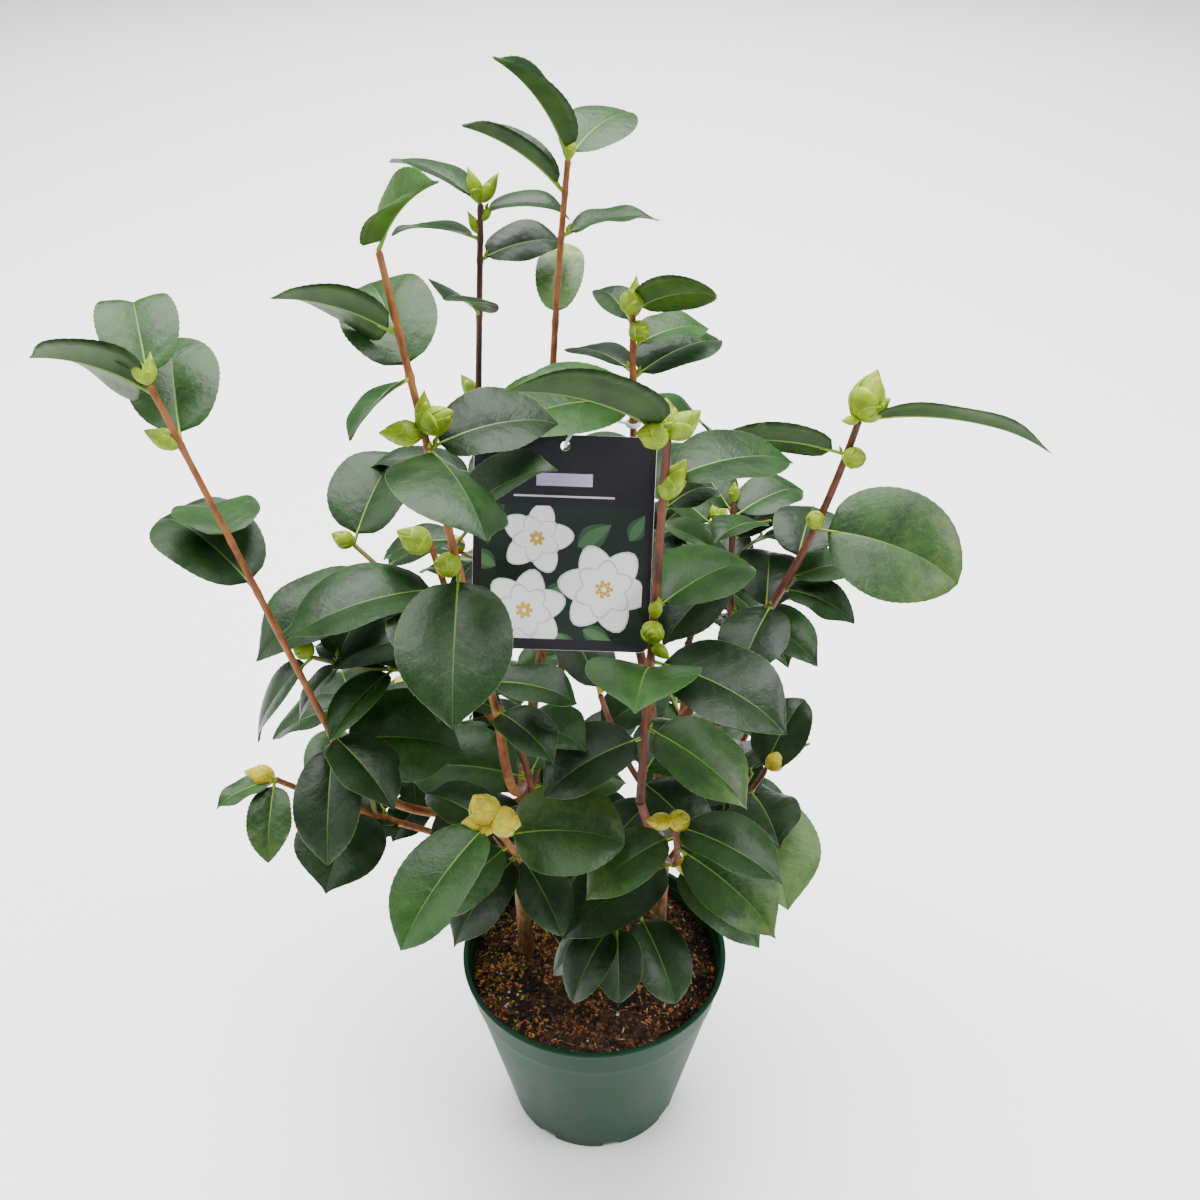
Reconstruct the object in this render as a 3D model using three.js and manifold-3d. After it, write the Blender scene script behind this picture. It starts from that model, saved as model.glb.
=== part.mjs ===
import * as THREE from "three";
import { mergeVertices } from "three/addons/utils/BufferGeometryUtils.js";
import Module from "manifold-3d";

// A potted camellia: two woody stems, their boughs, and leafy shoots with flower buds.
// Millimetres and degrees. X is right, Y is back, Z is up, and the origin is the middle of the
// pot's underside.

const wasm = await Module();
wasm.setup();

// Gaps between neighbouring solids, and the room kept round each new leaf
const CLEAR = 0.3;
const SKIN = 0.6;

// Three-litre nursery pot
const POT = {
  height: 145,
  baseRadius: 63,
  shoulderRadius: 88.5,
  shoulderHeight: 119,
  bandStep: 1.3,
  rimRadius: 93,
  lipRadius: 95,
  lipHeight: 2.5,
  lipRound: 0.4,
  wall: 1.8,
  floor: 4.5,
  facets: 32,
  notches: 8,
  notchWidth: 13,
  notchHeight: 3,
  notchDepth: 5,
};
const SOIL_TOP = 128;
const SOIL_GAP = 0.7; // from the soil to the pot's wall, whose facets come nearer than its radius

// Lowest height of any leaf: just over the pot's rim
const LEAF_FLOOR = POT.height + 3;

// Leaf: shares of its length, and ratios to its length
const LEAF = {
  stations: [0, 0.1, 0.3, 0.68],
  petiole: 0.1,
  petioleRadius: 1.1,
  bladeThick: 1.1,
  width: 0.64,
  coarseGain: 1.06,
  fold: 0.16,
  bend: 40,
};

// Bud: shares of its length, radius as shares of its widest, and its radius to its length
const BUD = {
  stations: [0, 0.28, 0.66, 1],
  girth: [0.22, 1, 0.86, 0],
  fatness: 0.34,
  sides: 5,
};
const SLIM = 0.2; // fatness of a leaf bud or a young flower bud

// Small turns tried in this order when a leaf would touch something: bearing, rise
const TURNS = [
  [0, 0], [10, 0], [-10, 0], [0, 10], [0, -10], [18, 6], [-18, 6], [18, -8], [-18, -8],
  [0, 20], [0, -20], [28, 0], [-28, 0],
];

// The two woody stems, each from its flat cut on the soil to its tip
const STEM_FOOT = SOIL_TOP + CLEAR;
const STEMS = {
  left_stem: { from: [-50, 14, STEM_FOOT], to: [-27, 28, 420], bow: [-10, -8, 0], thick: [5.3, 2.9] },
  right_stem: { from: [46, 18, STEM_FOOT], to: [25, 10, 420], bow: [10, 4, 0], thick: [5, 2.8] },
};
const FLARE = { share: 0.35, height: 9, rings: [0, 0.02, 0.05] };
const LEAST_RING_STEP = 0.01;

// Boughs: the stem each leaves, how far up it, and the bough's tip
const BOUGHS = {
  left_bough: { on: "left_stem", at: 0.5, to: [-150, -59, 379], bow: [-16, -8, -20] },
  front_left_bough: { on: "left_stem", at: 0.56, to: [-53, -78, 416], bow: [0, -16, -14] },
  left_inner_bough: { on: "left_stem", at: 0.68, to: [-74, -16, 412], bow: [-6, -8, -6] },
  back_left_bough: { on: "left_stem", at: 0.62, to: [-75, 52, 430], bow: [-10, 8, -12] },
  back_bough: { on: "left_stem", at: 0.42, to: [-22, 98, 356], bow: [6, 14, -14] },
  front_right_bough: { on: "right_stem", at: 0.42, to: [28, -66, 345], bow: [2, -10, -12] },
  right_bough: { on: "right_stem", at: 0.55, to: [100, -3, 430], bow: [8, 0, -14] },
  middle_right_bough: { on: "right_stem", at: 0.66, to: [88, 40, 400], bow: [6, 4, -10] },
  back_right_bough: { on: "right_stem", at: 0.4, to: [66, 92, 350], bow: [4, 12, -12] },
};
const BOUGH_THICK = [3.3, 2.6];

// Sides and steps of each kind of limb
const FACETS = { stem: [8, 8], bough: [6, 5], shoot: [4, 5], twig: [3, 3] };

// Leafy masses: the limb that carries each, its own main shoot, and what grows on it.
// A leaf is [share of the shoot, bearing, rise, length, roll, width], a bud [share, bearing, rise,
// length, fatness]; the last values are left out where they are the usual ones.
// Bearing turns from +X towards +Y; rise is the slope of the line from foot to tip.
const MASSES = {
  left_shoot: {
    on: "left_bough",
    to: [-212, -75, 617],
    thick: [2.1, 1.6],
    leaves: [
      [1, 110, 30, 62], [0.98, 165, 10, 68, 50], [0.86, 105, 28, 72], [0.62, 118, -4, 54, 10, 0.85],
      [0.48, 145, 20, 78, 0, 0.7], [0.03, -91, -45, 71, 0, 0.56], [0.02, 8, -10, 76, 30, 0.8],
      [0.05, -44, -22, 60, 0, 0.7],
    ],
    buds: [[1, 144, 43, 19, SLIM], [1, 80, 65, 16, SLIM], [0.86, 170, 20, 20, 0.26]],
  },
  front_left_shoot: {
    on: "front_left_bough",
    to: [-97, -70, 681],
    bow: [4, -21, 0],
    thick: [2.3, 1.7],
    leaves: [
      [1, -42, 41, 60], [0.86, 165, 11, 66, 44, 0.58], [0.79, 113, 22, 72, -16, 0.7],
      [0.79, -124, -18, 46, 25, 0.42], [0.66, -65, -4, 80, 0, 0.8], [0.66, 20, 4, 66, 22],
      [0.5, -6, 35, 68, 12, 0.66], [0.41, -90, -34, 80, 0, 0.72], [0.12, -14, -4, 50], [0.03, -45, -10, 48],
    ],
    buds: [
      [0.69, -164, 8, 22, 0.28], [0.7, -26, 35, 22, 0.31], [0.7, -33, 82, 21, SLIM],
      [0.69, -120, 70, 14, SLIM], [0.42, -133, 29, 18],
    ],
  },
  left_inner_shoots: {
    on: "left_inner_bough",
    to: [-88, -50, 516],
    leaves: [[0.62, -158, -6, 92], [0.2, -172, 0, 78], [0.35, 60, 10, 62], [0.2, -100, -15, 60]],
    buds: [[0.95, -167, 35, 22]],
    twigs: [
      {
        at: 0.15,
        to: [-142, 10, 478],
        leaves: [[1, 66, 32, 70, 0, 0.8], [0.75, 15, 12, 52], [0.6, -155, -15, 92]],
        buds: [[1, -160, 40, 16]],
      },
      {
        at: 0.02,
        to: [-161, -46, 436],
        bow: [0, 0, -8],
        leaves: [
          [1, -160, -52, 62, 0, 0.5], [0.82, -163, -49, 46, 0, 0.5], [0.5, -131, -32, 56, 0, 0.5],
          [0.49, 160, 5, 56], [0.28, 165, 14, 62], [0.86, 80, -10, 56],
        ],
        buds: [[1, 150, 30, 17]],
      },
    ],
    fill: { from: 0.1, to: 0.6, count: 2 },
  },
  back_left_shoot: {
    on: "back_left_bough",
    to: [-59, 35, 672],
    thick: [2.2, 1.6],
    leaves: [
      [1, 152, 15, 60, 12], [0.98, 5, 0, 48, -14], [0.92, 170, 2, 50, 26], [0.87, 18, 8, 48, 22],
      [0.74, -104, 28, 60], [0.5, -64, 16, 60], [0.3, 170, 10, 65], [0.25, 60, 10, 65],
    ],
    buds: [
      [1, 150, 68, 20, SLIM], [1, 20, 55, 19, SLIM], [0.93, 160, 60, 14, SLIM], [0.52, 150, 50, 18, 0.25],
      [0.96, 0, 50, 12, SLIM],
    ],
  },
  top_shoot: {
    on: "left_stem",
    to: [-12, 10, 701],
    bow: [-4, 0, 0],
    thick: [2.4, 1.5],
    leaves: [
      [1, -132, 48, 74, 20, 0.42], [1, 55, 14, 55], [0.94, 165, 29, 62, 15], [0.86, 15, 5, 54, -12],
      [0.69, 86, 22, 66, 0, 0.4], [0.4, 150, 15, 68], [0.34, 20, 10, 62], [0.22, -60, 5, 65],
      [0.12, 80, 10, 70],
    ],
    buds: [[1, 60, 75, 13, 0.26]],
  },
  back_right_shoot: {
    on: "right_stem",
    to: [21, -5, 628],
    thick: [2.5, 1.6],
    leaves: [
      [1, -28, 20, 50, 26], [0.96, 118, 14, 38], [0.9, 30, 3, 48], [0.81, 36, 8, 62, 12],
      [0.83, 132, -2, 52, 10], [0.74, -150, 2, 88, -12, 0.64], [0.7, 34, -20, 58], [0.45, 70, 5, 70],
      [0.3, 150, 10, 66], [0.16, 70, 5, 62],
    ],
    buds: [[1, -100, 55, 18], [1, 45, 82, 19, SLIM], [0.95, -60, 10, 16]],
  },
  front_right_shoot: {
    on: "front_right_bough",
    to: [36, -95, 599],
    thick: [2.7, 2],
    leaves: [
      [1, -166, 22, 86, 50, 0.48], [0.9, 24, -2, 74], [0.83, 50, -4, 44], [0.58, 60, 10, 64, 0, 0.85],
      [0.42, -98, 20, 80, 0, 0.75], [0.44, -43, -8, 84, 8, 0.68], [0.21, -158, -20, 66, 0, 0.75],
      [0.24, -32, -22, 72, 0, 0.74], [0.08, 60, 0, 62],
    ],
    buds: [
      [1, 100, 70, 19], [1, 0, 42, 21, 0.3], [1, -150, 20, 19], [0.86, 0, 64, 25, 0.24],
      [0.52, -95, 35, 18], [0.56, -60, 78, 18, SLIM], [0.49, -30, -30, 13, 0.28],
    ],
  },
  right_shoot: {
    on: "right_bough",
    to: [139, -35, 580],
    bow: [4, 0, -3],
    thick: [2.5, 1.9],
    leaves: [
      [1, -20, 0, 98, -20], [0.86, 176, 0, 88, 42], [0.52, -18, -12, 84, 38, 0.74],
      [0.35, 72, 16, 50, 0, 0.78], [0.21, -22, -14, 46], [0.26, 20, 0, 48], [0.12, -116, -20, 58, 0, 0.7],
      [0.06, 100, 5, 62],
    ],
    buds: [
      [1, 30, 72, 28, 0.33], [1, -10, 42, 20, 0.28], [1, 175, 62, 14, SLIM], [1, -150, 10, 13, SLIM],
      [0.85, -60, 20, 17], [0.57, -120, 25, 15],
    ],
  },
  middle_right_shoot: {
    on: "middle_right_bough",
    to: [85, 40, 490],
    leaves: [
      [0.88, 30, 8, 54], [0.7, 50, 0, 46], [0.5, 170, 18, 56], [0.31, -10, 0, 52], [0.9, 130, 25, 55],
    ],
    buds: [[1, 80, 80, 13, 0.26]],
    fill: { from: 0.05, to: 0.5, count: 3 },
  },
  front_low_shoot: {
    on: "left_stem",
    at: 0.37,
    to: [-57, -105, 365],
    bow: [6, -8, -10],
    thick: [2.4, 1.9],
    leaves: [
      [0.84, -6, 3, 72, 38, 0.8], [1, -134, -34, 86, 0, 0.56], [0.72, -140, -28, 58], [0.4, -54, -34, 56],
      [0.2, -140, -20, 70], [0.85, 150, 10, 56], [0.45, -133, -31, 68],
    ],
    buds: [[1, 178, 62, 21, 0.43], [1, -28, 14, 20, 0.43], [1, -170, 2, 18, 0.3], [1, -120, -20, 12, 0.36]],
  },
  right_low_shoot: {
    on: "right_stem",
    at: 0.3,
    to: [46, -90, 350],
    bow: [6, -10, -8],
    thick: [2.3, 1.8],
    leaves: [
      [0.97, -32, -7, 72], [0.74, -38, -20, 78], [0.89, -154, -23, 64], [0.45, -154, -21, 88],
      [0.3, -36, -24, 76], [0.45, 40, 0, 66],
    ],
    buds: [[1, -50, 40, 18], [1, -165, 15, 17, 0.3], [0.45, -20, -10, 19, 0.3]],
  },
  left_low_shoots: {
    on: "left_stem",
    at: 0.33,
    to: [-192, -55, 352],
    bow: [-15, 10, -8],
    thick: [2.5, 1.8],
    leaves: [
      [1, -91, -38, 48, 0, 0.55], [1, -150, -8, 38, 0, 0.45], [0.62, -100, -8, 66, 0, 0.86],
      [0.76, 60, 10, 60], [0.42, -160, 0, 66], [0.5, 120, 10, 66],
    ],
    buds: [[1, 170, 10, 20]],
    twigs: [
      {
        at: 0.55,
        to: [-150, -8, 372],
        leaves: [[1, -170, -20, 56], [0.9, 120, 0, 58], [0.7, 30, 20, 60], [0.5, -110, -5, 56]],
        buds: [],
      },
    ],
  },
  middle_shoot: {
    on: "left_stem",
    at: 0.46,
    to: [-50, -50, 398],
    bow: [10, -10, -8],
    thick: [2.2, 1.7],
    leaves: [
      [1, 150, 0, 60], [0.94, -50, 14, 60], [0.58, -175, 2, 80, 0, 0.82], [0.3, -165, -6, 78],
      [0.6, 70, 0, 60], [0.5, 20, -10, 66],
    ],
    buds: [],
  },
  centre_shoot: {
    on: "right_stem",
    at: 0.5,
    to: [4, -44, 408],
    bow: [0, -12, -8],
    thick: [2.2, 1.7],
    leaves: [[1, 108, 5, 54], [0.6, 0, -10, 60], [0.4, -60, -30, 62]],
    buds: [[1, 60, 70, 14, SLIM]],
  },
  front_bottom_shoot: {
    on: "right_stem",
    at: 0.2,
    to: [12, -58, 232],
    bow: [4, -6, 0],
    thick: [2.1, 1.6],
    leaves: [
      [1, -125, -34, 54], [0.94, -88, -38, 50], [0.6, -62, -35, 62], [0.8, -160, -30, 60],
      [0.4, 160, 5, 60],
    ],
    buds: [],
  },
  right_low_side_shoot: {
    on: "right_stem",
    at: 0.36,
    to: [112, -5, 318],
    bow: [6, -4, -8],
    thick: [2.3, 1.8],
    leaves: [[0.8, -72, -30, 78, 0, 0.8], [0.95, 50, 40, 60], [0.55, -100, -25, 60], [0.5, 70, 10, 64]],
    buds: [[1, 20, 30, 18]],
    fill: { from: 0.3, to: 0.9, count: 3 },
  },
  back_shoots: {
    on: "back_bough",
    to: [-28, 138, 446],
    bow: [0, 10, 0],
    leaves: [],
    buds: [[1, 90, 75, 18]],
    twigs: [
      {
        at: 0.2,
        to: [-92, 128, 402],
        leaves: [],
        buds: [[1, 150, 45, 17]],
        fill: { from: 0.3, to: 1, count: 5 },
      },
      { at: 0.35, to: [22, 132, 410], leaves: [], buds: [], fill: { from: 0.35, to: 1, count: 4 } },
    ],
    fill: { from: 0.2, to: 1, count: 7 },
  },
  back_right_shoots: {
    on: "back_right_bough",
    to: [84, 124, 428],
    bow: [4, 8, 0],
    leaves: [],
    buds: [[1, 60, 70, 18]],
    twigs: [
      {
        at: 0.3,
        to: [128, 84, 392],
        leaves: [],
        buds: [[1, 20, 40, 17]],
        fill: { from: 0.3, to: 1, count: 5 },
      },
    ],
    fill: { from: 0.15, to: 1, count: 7 },
  },
  back_low_left_shoots: {
    on: "left_stem",
    at: 0.28,
    to: [-132, 88, 306],
    bow: [-6, 12, -8],
    thick: [2.4, 1.8],
    leaves: [],
    buds: [[1, 140, 40, 18]],
    twigs: [
      { at: 0.55, to: [-72, 132, 292], leaves: [], buds: [], fill: { from: 0.3, to: 1, count: 4 } },
      { at: 0.7, to: [-156, 44, 326], leaves: [], buds: [], fill: { from: 0.35, to: 1, count: 4 } },
    ],
    fill: { from: 0.35, to: 1, count: 6 },
  },
  back_low_right_shoots: {
    on: "right_stem",
    at: 0.26,
    to: [116, 90, 286],
    bow: [6, 10, -8],
    thick: [2.4, 1.8],
    leaves: [],
    buds: [[1, 40, 40, 18]],
    twigs: [
      { at: 0.5, to: [52, 132, 286], leaves: [], buds: [], fill: { from: 0.3, to: 1, count: 4 } },
      { at: 0.6, to: [138, 34, 300], leaves: [], buds: [], fill: { from: 0.4, to: 1, count: 4 } },
    ],
    fill: { from: 0.3, to: 1, count: 6 },
  },
  back_bottom_shoot: {
    on: "left_stem",
    at: 0.18,
    to: [-14, 104, 236],
    bow: [0, 8, -4],
    thick: [2.2, 1.7],
    leaves: [],
    buds: [],
    fill: { from: 0.4, to: 1, count: 6 },
  },
};
const SHOOT_THICK = [2.4, 1.7];
const TWIG_THICK = [1.8, 1.4];

// Leaves that grow by rule: the turn from one to the next, their ranges, and the space that they keep to,
// which is a distance from the middle of their own shoot and an upright oval round the crown
const FILL = {
  turn: 137.5,
  jitter: 24,
  rise: [-22, 26],
  length: [58, 78],
  roll: 12,
  reach: 120,
  seed: 1000,
  seedStep: 77,
};
const CROWN = { middle: [-22, 20], reach: [166, 190] };

// Plant label: a plain card that leans back on the leaves, and the loop that ties it to a shoot
const CARD = { width: 97, height: 118, thick: 0.8, corner: 5, lean: 20, top: [-14, -30, 569], turn: -2 };
const CARD_HOLE = { down: 6, radius: 2.6 };
const TIE = {
  on: "back_right_shoot",
  at: 0.68,
  ringWire: 1.1,
  ringGap: 0.4,
  ringSegments: 14,
  wire: 0.9,
  wireSteps: 16,
  // After the ring: across the card, up it and out of its face, all from the middle of its top edge
  route: [[20, 8, -12], [6, 5, -4], [1.5, -2, -3.4], [0, -6, 0], [1, -2.4, 3], [5, 3.4, 1.6], [9, 7, -4]],
};

const COLOURS = {
  pot: "#3f6955",
  soil: "#4a3527",
  stem: "#6b5138",
  bough: "#6e4a33",
  foliage: "#38573a",
  card: "#34333a",
  tie: "#e9eaec",
};

const radians = (degrees) => (degrees * Math.PI) / 180;
const vector = (point) => new THREE.Vector3(...point);
const mix = (low, high, share) => low + (high - low) * share;

// A closed surface through rings of points; a ring of one point is a tip.
function loft(rings) {
  const points = rings.flat();
  const faces = [];
  let start = 0;
  rings.slice(0, -1).forEach((ring, i) => {
    const next = rings[i + 1];
    const after = start + ring.length;
    const count = Math.max(ring.length, next.length);
    for (let k = 0; k < count; k += 1) {
      const turn = (k + 1) % count;
      if (ring.length > 1) {
        faces.push([start + k, start + turn, after + (next.length > 1 ? turn : 0)]);
      }
      if (next.length > 1) {
        faces.push([start + (ring.length > 1 ? k : 0), after + turn, after + k]);
      }
    }
    start = after;
  });
  const last = rings.at(-1);
  for (let k = 1; k < rings[0].length - 1; k += 1) {
    faces.push([0, k + 1, k]);
  }
  for (let k = 1; k < last.length - 1; k += 1) {
    faces.push([start, start + k, start + k + 1]);
  }
  return { points, faces };
}

function limbPoint(limb, share) {
  const bow = 4 * share * (1 - share);
  return vector(limb.from)
    .lerp(vector(limb.to), share)
    .addScaledVector(vector(limb.bow), bow);
}

function limbWay(limb, share) {
  return vector(limb.to)
    .sub(vector(limb.from))
    .addScaledVector(vector(limb.bow), 4 * (1 - 2 * share))
    .normalize();
}

function limbLength(limb) {
  return vector(limb.from).distanceTo(vector(limb.to));
}

function limbRadius(limb, share) {
  const flare = limb.flare ? FLARE.share * Math.exp((-share * limbLength(limb)) / FLARE.height) : 0;
  return mix(limb.thick[0], limb.thick[1], share) * (1 + flare);
}

// Rings along a limb; extra is added to its radius and to both its ends.
function limbShape(limb, extra = 0) {
  const upright = Math.abs(limbWay(limb, 0.5).x) < 0.8;
  const reference = upright ? new THREE.Vector3(1, 0, 0) : new THREE.Vector3(0, 1, 0);
  const shares = limb.flare ? [...FLARE.rings] : [0];
  for (let i = 1; i <= limb.steps; i += 1) {
    shares.push(Math.max(i / limb.steps, shares.at(-1) + LEAST_RING_STEP));
  }
  return loft(
    shares.map((share) => {
      const way = limbWay(limb, share);
      const across = way.clone().cross(reference).normalize();
      const along = way.clone().cross(across);
      const centre = limbPoint(limb, share);
      if (share === 0 && limb.flare) {
        across.set(1, 0, 0);
        along.set(0, 1, 0);
      }
      centre.addScaledVector(way, share === 0 ? -extra : share === 1 ? extra : 0);
      const radius = limbRadius(limb, share) + extra;
      return Array.from({ length: limb.sides }, (_, k) => {
        const angle = (2 * Math.PI * k) / limb.sides;
        return centre
          .clone()
          .addScaledVector(across, radius * Math.cos(angle))
          .addScaledVector(along, radius * Math.sin(angle));
      });
    }),
  );
}

function leafHalfWidth(leaf, share) {
  const blade = Math.max((share - LEAF.petiole) / (1 - LEAF.petiole), 0);
  const outline = Math.max(Math.sin(Math.PI * blade ** 0.92), 0) ** (0.4 + 0.36 * blade);
  return Math.max(outline * leaf.length * leaf.width * 0.5 * LEAF.coarseGain, LEAF.petioleRadius);
}

// The midrib is an arc in the upright plane of the bearing: steeper than the rise at first, then flatter.
function leafFrame(foot, leaf, share) {
  const bend = radians(LEAF.bend);
  const begin = radians(leaf.rise) + bend / 2;
  const slope = begin - bend * share;
  const arc = (leaf.length * bend) / 2 / Math.sin(bend / 2);
  const out = (arc * (Math.sin(begin) - Math.sin(slope))) / bend;
  const up = (arc * (Math.cos(slope) - Math.cos(begin))) / bend;
  const bearing = radians(leaf.bearing);
  const ahead = new THREE.Vector3(Math.cos(bearing), Math.sin(bearing), 0);
  const left = new THREE.Vector3(-Math.sin(bearing), Math.cos(bearing), 0);
  const normal = ahead.clone().multiplyScalar(-Math.sin(slope)).setZ(Math.cos(slope));
  const roll = radians(leaf.roll);
  return {
    centre: foot.clone().addScaledVector(ahead, out).setZ(foot.z + up),
    side: left.clone().multiplyScalar(Math.cos(roll)).addScaledVector(normal, Math.sin(roll)),
    normal: normal.clone().multiplyScalar(Math.cos(roll)).addScaledVector(left, -Math.sin(roll)),
  };
}

// Each ring of a leaf is left edge, upper midrib, right edge, lower midrib.
function leafShape(foot, leaf, first = 0, extra = 0) {
  const rings = LEAF.stations.slice(first).map((share) => {
    const { centre, side, normal } = leafFrame(foot, leaf, share);
    const half = leafHalfWidth(leaf, share) + extra;
    const lift = share > LEAF.petiole ? LEAF.fold * half : 0;
    const thick = (share > LEAF.petiole ? LEAF.bladeThick / 2 : LEAF.petioleRadius) + extra;
    return [
      [half, lift],
      [0, thick],
      [-half, lift],
      [0, -thick],
    ].map(([across, over]) => centre.clone().addScaledVector(side, across).addScaledVector(normal, over));
  });
  rings.push([leafFrame(foot, leaf, 1).centre]);
  return loft(rings);
}

function budShape(foot, bud) {
  const bearing = radians(bud.bearing);
  const rise = radians(bud.rise);
  const way = new THREE.Vector3(
    Math.cos(bearing) * Math.cos(rise),
    Math.sin(bearing) * Math.cos(rise),
    Math.sin(rise),
  );
  const across = new THREE.Vector3(-Math.sin(bearing), Math.cos(bearing), 0);
  const along = way.clone().cross(across);
  return loft(
    BUD.stations.map((share, i) => {
      const centre = foot.clone().addScaledVector(way, share * bud.length);
      const radius = BUD.girth[i] * bud.fatness * bud.length;
      return radius === 0
        ? [centre]
        : Array.from({ length: BUD.sides }, (_, k) => {
            const angle = (2 * Math.PI * k) / BUD.sides;
            return centre
              .clone()
              .addScaledVector(across, radius * Math.cos(angle))
              .addScaledVector(along, radius * Math.sin(angle));
          });
    }),
  );
}

// Whether any edge of one shape passes through a face of the other
function edgesCross(one, other) {
  const edges = new Map();
  for (const face of one.faces) {
    face.forEach((a, k) => {
      const b = face[(k + 1) % 3];
      edges.set(Math.min(a, b) * 1000 + Math.max(a, b), [a, b]);
    });
  }
  const ray = new THREE.Ray();
  const hit = new THREE.Vector3();
  for (const [a, b] of edges.values()) {
    const start = one.points[a];
    const way = one.points[b].clone().sub(start);
    const length = way.length();
    ray.set(start, way.divideScalar(length));
    for (const [i, j, k] of other.faces) {
      const met = ray.intersectTriangle(other.points[i], other.points[j], other.points[k], false, hit);
      if (met && hit.distanceTo(start) <= length) {
        return true;
      }
    }
  }
  return false;
}

function boxOf(shape) {
  return new THREE.Box3().setFromPoints(shape.points);
}

function touches(shape, placed, own) {
  const box = boxOf(shape);
  return placed.some(
    (other) =>
      other.limb !== own &&
      box.intersectsBox(other.box) &&
      (edgesCross(shape, other.shape) || edgesCross(other.shape, shape)),
  );
}

// A repeatable stream of numbers from 0 to 1
function stream(start) {
  let seed = start;
  return () => {
    seed = (seed * 1664525 + 1013904223) % 4294967296;
    return seed / 4294967296;
  };
}

// Everything that has been set in place so far, which new leaves keep clear of
const placed = [];

function place(shape, limb) {
  placed.push({ shape, limb, box: boxOf(shape) });
  return shape;
}

// Sets a leaf on a limb, turned a little where it would touch something, or leaves it out.
function placeLeaf(limb, row, space = () => true) {
  const [at, bearing, rise, length, roll = 0, width = LEAF.width] = row;
  const foot = limbPoint(limb, at);
  for (const [turn, lift] of TURNS) {
    const leaf = { bearing: bearing + turn, rise: rise + lift, length, roll, width };
    const guard = leafShape(foot, leaf, 1, SKIN);
    const inside = guard.points.every((point) => point.z > LEAF_FLOOR && space(point));
    if (inside && !touches(guard, placed, limb)) {
      return [place(leafShape(foot, leaf))];
    }
  }
  return [];
}

function fillLeaves(limb, fill, random) {
  const shapes = [];
  const begin = 360 * random();
  const middle = limbPoint(limb, 0.5);
  const inCrown = ({ x, y }) => {
    const across = (x - CROWN.middle[0]) / CROWN.reach[0];
    const deep = (y - CROWN.middle[1]) / CROWN.reach[1];
    return Math.hypot(across, deep) < 1;
  };
  const space = (point) => point.distanceTo(middle) < FILL.reach && inCrown(point);
  for (let i = 0; i < fill.count; i += 1) {
    const row = [
      mix(fill.from, fill.to, (i + 0.5) / fill.count),
      begin + FILL.turn * i + FILL.jitter * (random() - 0.5),
      mix(...FILL.rise, random()),
      mix(...FILL.length, random()),
      FILL.roll * (random() - 0.5),
    ];
    shapes.push(...placeLeaf(limb, row, space));
  }
  return shapes;
}

function makeLimb(from, spec, [sides, steps], thick) {
  return { from, bow: [0, 0, 0], ...spec, sides, steps, thick: spec.thick ?? thick };
}

// A mass's main shoot and its twigs, each with the rows of what grows on it
function limbsOf(name, spec) {
  const twigs = spec.twigs ?? [];
  return [[limbs[name], spec], ...twigs.map((twig, i) => [limbs[`${name}_${i}`], twig])];
}

// Limbs first, so that every leaf keeps clear of all of them
const limbs = {};
for (const [name, spec] of Object.entries(STEMS)) {
  limbs[name] = makeLimb(spec.from, { ...spec, flare: true }, FACETS.stem);
}
for (const [name, spec] of Object.entries(BOUGHS)) {
  const from = limbPoint(limbs[spec.on], spec.at).toArray();
  limbs[name] = makeLimb(from, spec, FACETS.bough, BOUGH_THICK);
}
for (const [name, spec] of Object.entries(MASSES)) {
  const from = limbPoint(limbs[spec.on], spec.at ?? 1).toArray();
  limbs[name] = makeLimb(from, spec, FACETS.shoot, SHOOT_THICK);
  spec.twigs?.forEach((twig, i) => {
    const foot = limbPoint(limbs[name], twig.at).toArray();
    limbs[`${name}_${i}`] = makeLimb(foot, twig, FACETS.twig, TWIG_THICK);
  });
}
for (const limb of Object.values(limbs)) {
  place(limbShape(limb), limb);
}

// The label's card: a rounded plate with a hole, in its own leaning frame
function cardShape() {
  const side = CARD.width / 2;
  const low = CARD.corner - CARD.height;
  const outline = new THREE.Shape();
  outline.moveTo(-side, 0);
  outline.lineTo(-side, low);
  outline.absarc(CARD.corner - side, low, CARD.corner, Math.PI, 1.5 * Math.PI);
  outline.absarc(side - CARD.corner, low, CARD.corner, 1.5 * Math.PI, 2 * Math.PI);
  outline.lineTo(side, 0);
  outline.holes.push(new THREE.Path().absarc(0, -CARD_HOLE.down, CARD_HOLE.radius, 0, 2 * Math.PI, true));
  const settings = { depth: CARD.thick, bevelEnabled: false, curveSegments: 5 };
  return new THREE.ExtrudeGeometry(outline, settings)
    .translate(0, 0, -CARD.thick / 2)
    .applyMatrix4(cardMatrix());
}

// From the card's own frame (X across, Y up the card, Z out of its face) to the plant's
function cardMatrix() {
  const lean = radians(CARD.lean);
  const turn = new THREE.Matrix4().makeRotationZ(radians(CARD.turn));
  const stand = new THREE.Matrix4().makeRotationX(Math.PI / 2 - lean);
  return new THREE.Matrix4().makeTranslation(...CARD.top).multiply(stand).multiply(turn);
}

const shapeOf = (geometry) => {
  const merged = welded(geometry);
  const at = merged.getAttribute("position");
  const pointAt = (_, i) => new THREE.Vector3().fromBufferAttribute(at, i);
  const points = Array.from({ length: at.count }, pointAt);
  const index = [...merged.getIndex().array];
  const faces = Array.from({ length: index.length / 3 }, (_, i) => index.slice(3 * i, 3 * i + 3));
  return { points, faces };
};

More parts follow.
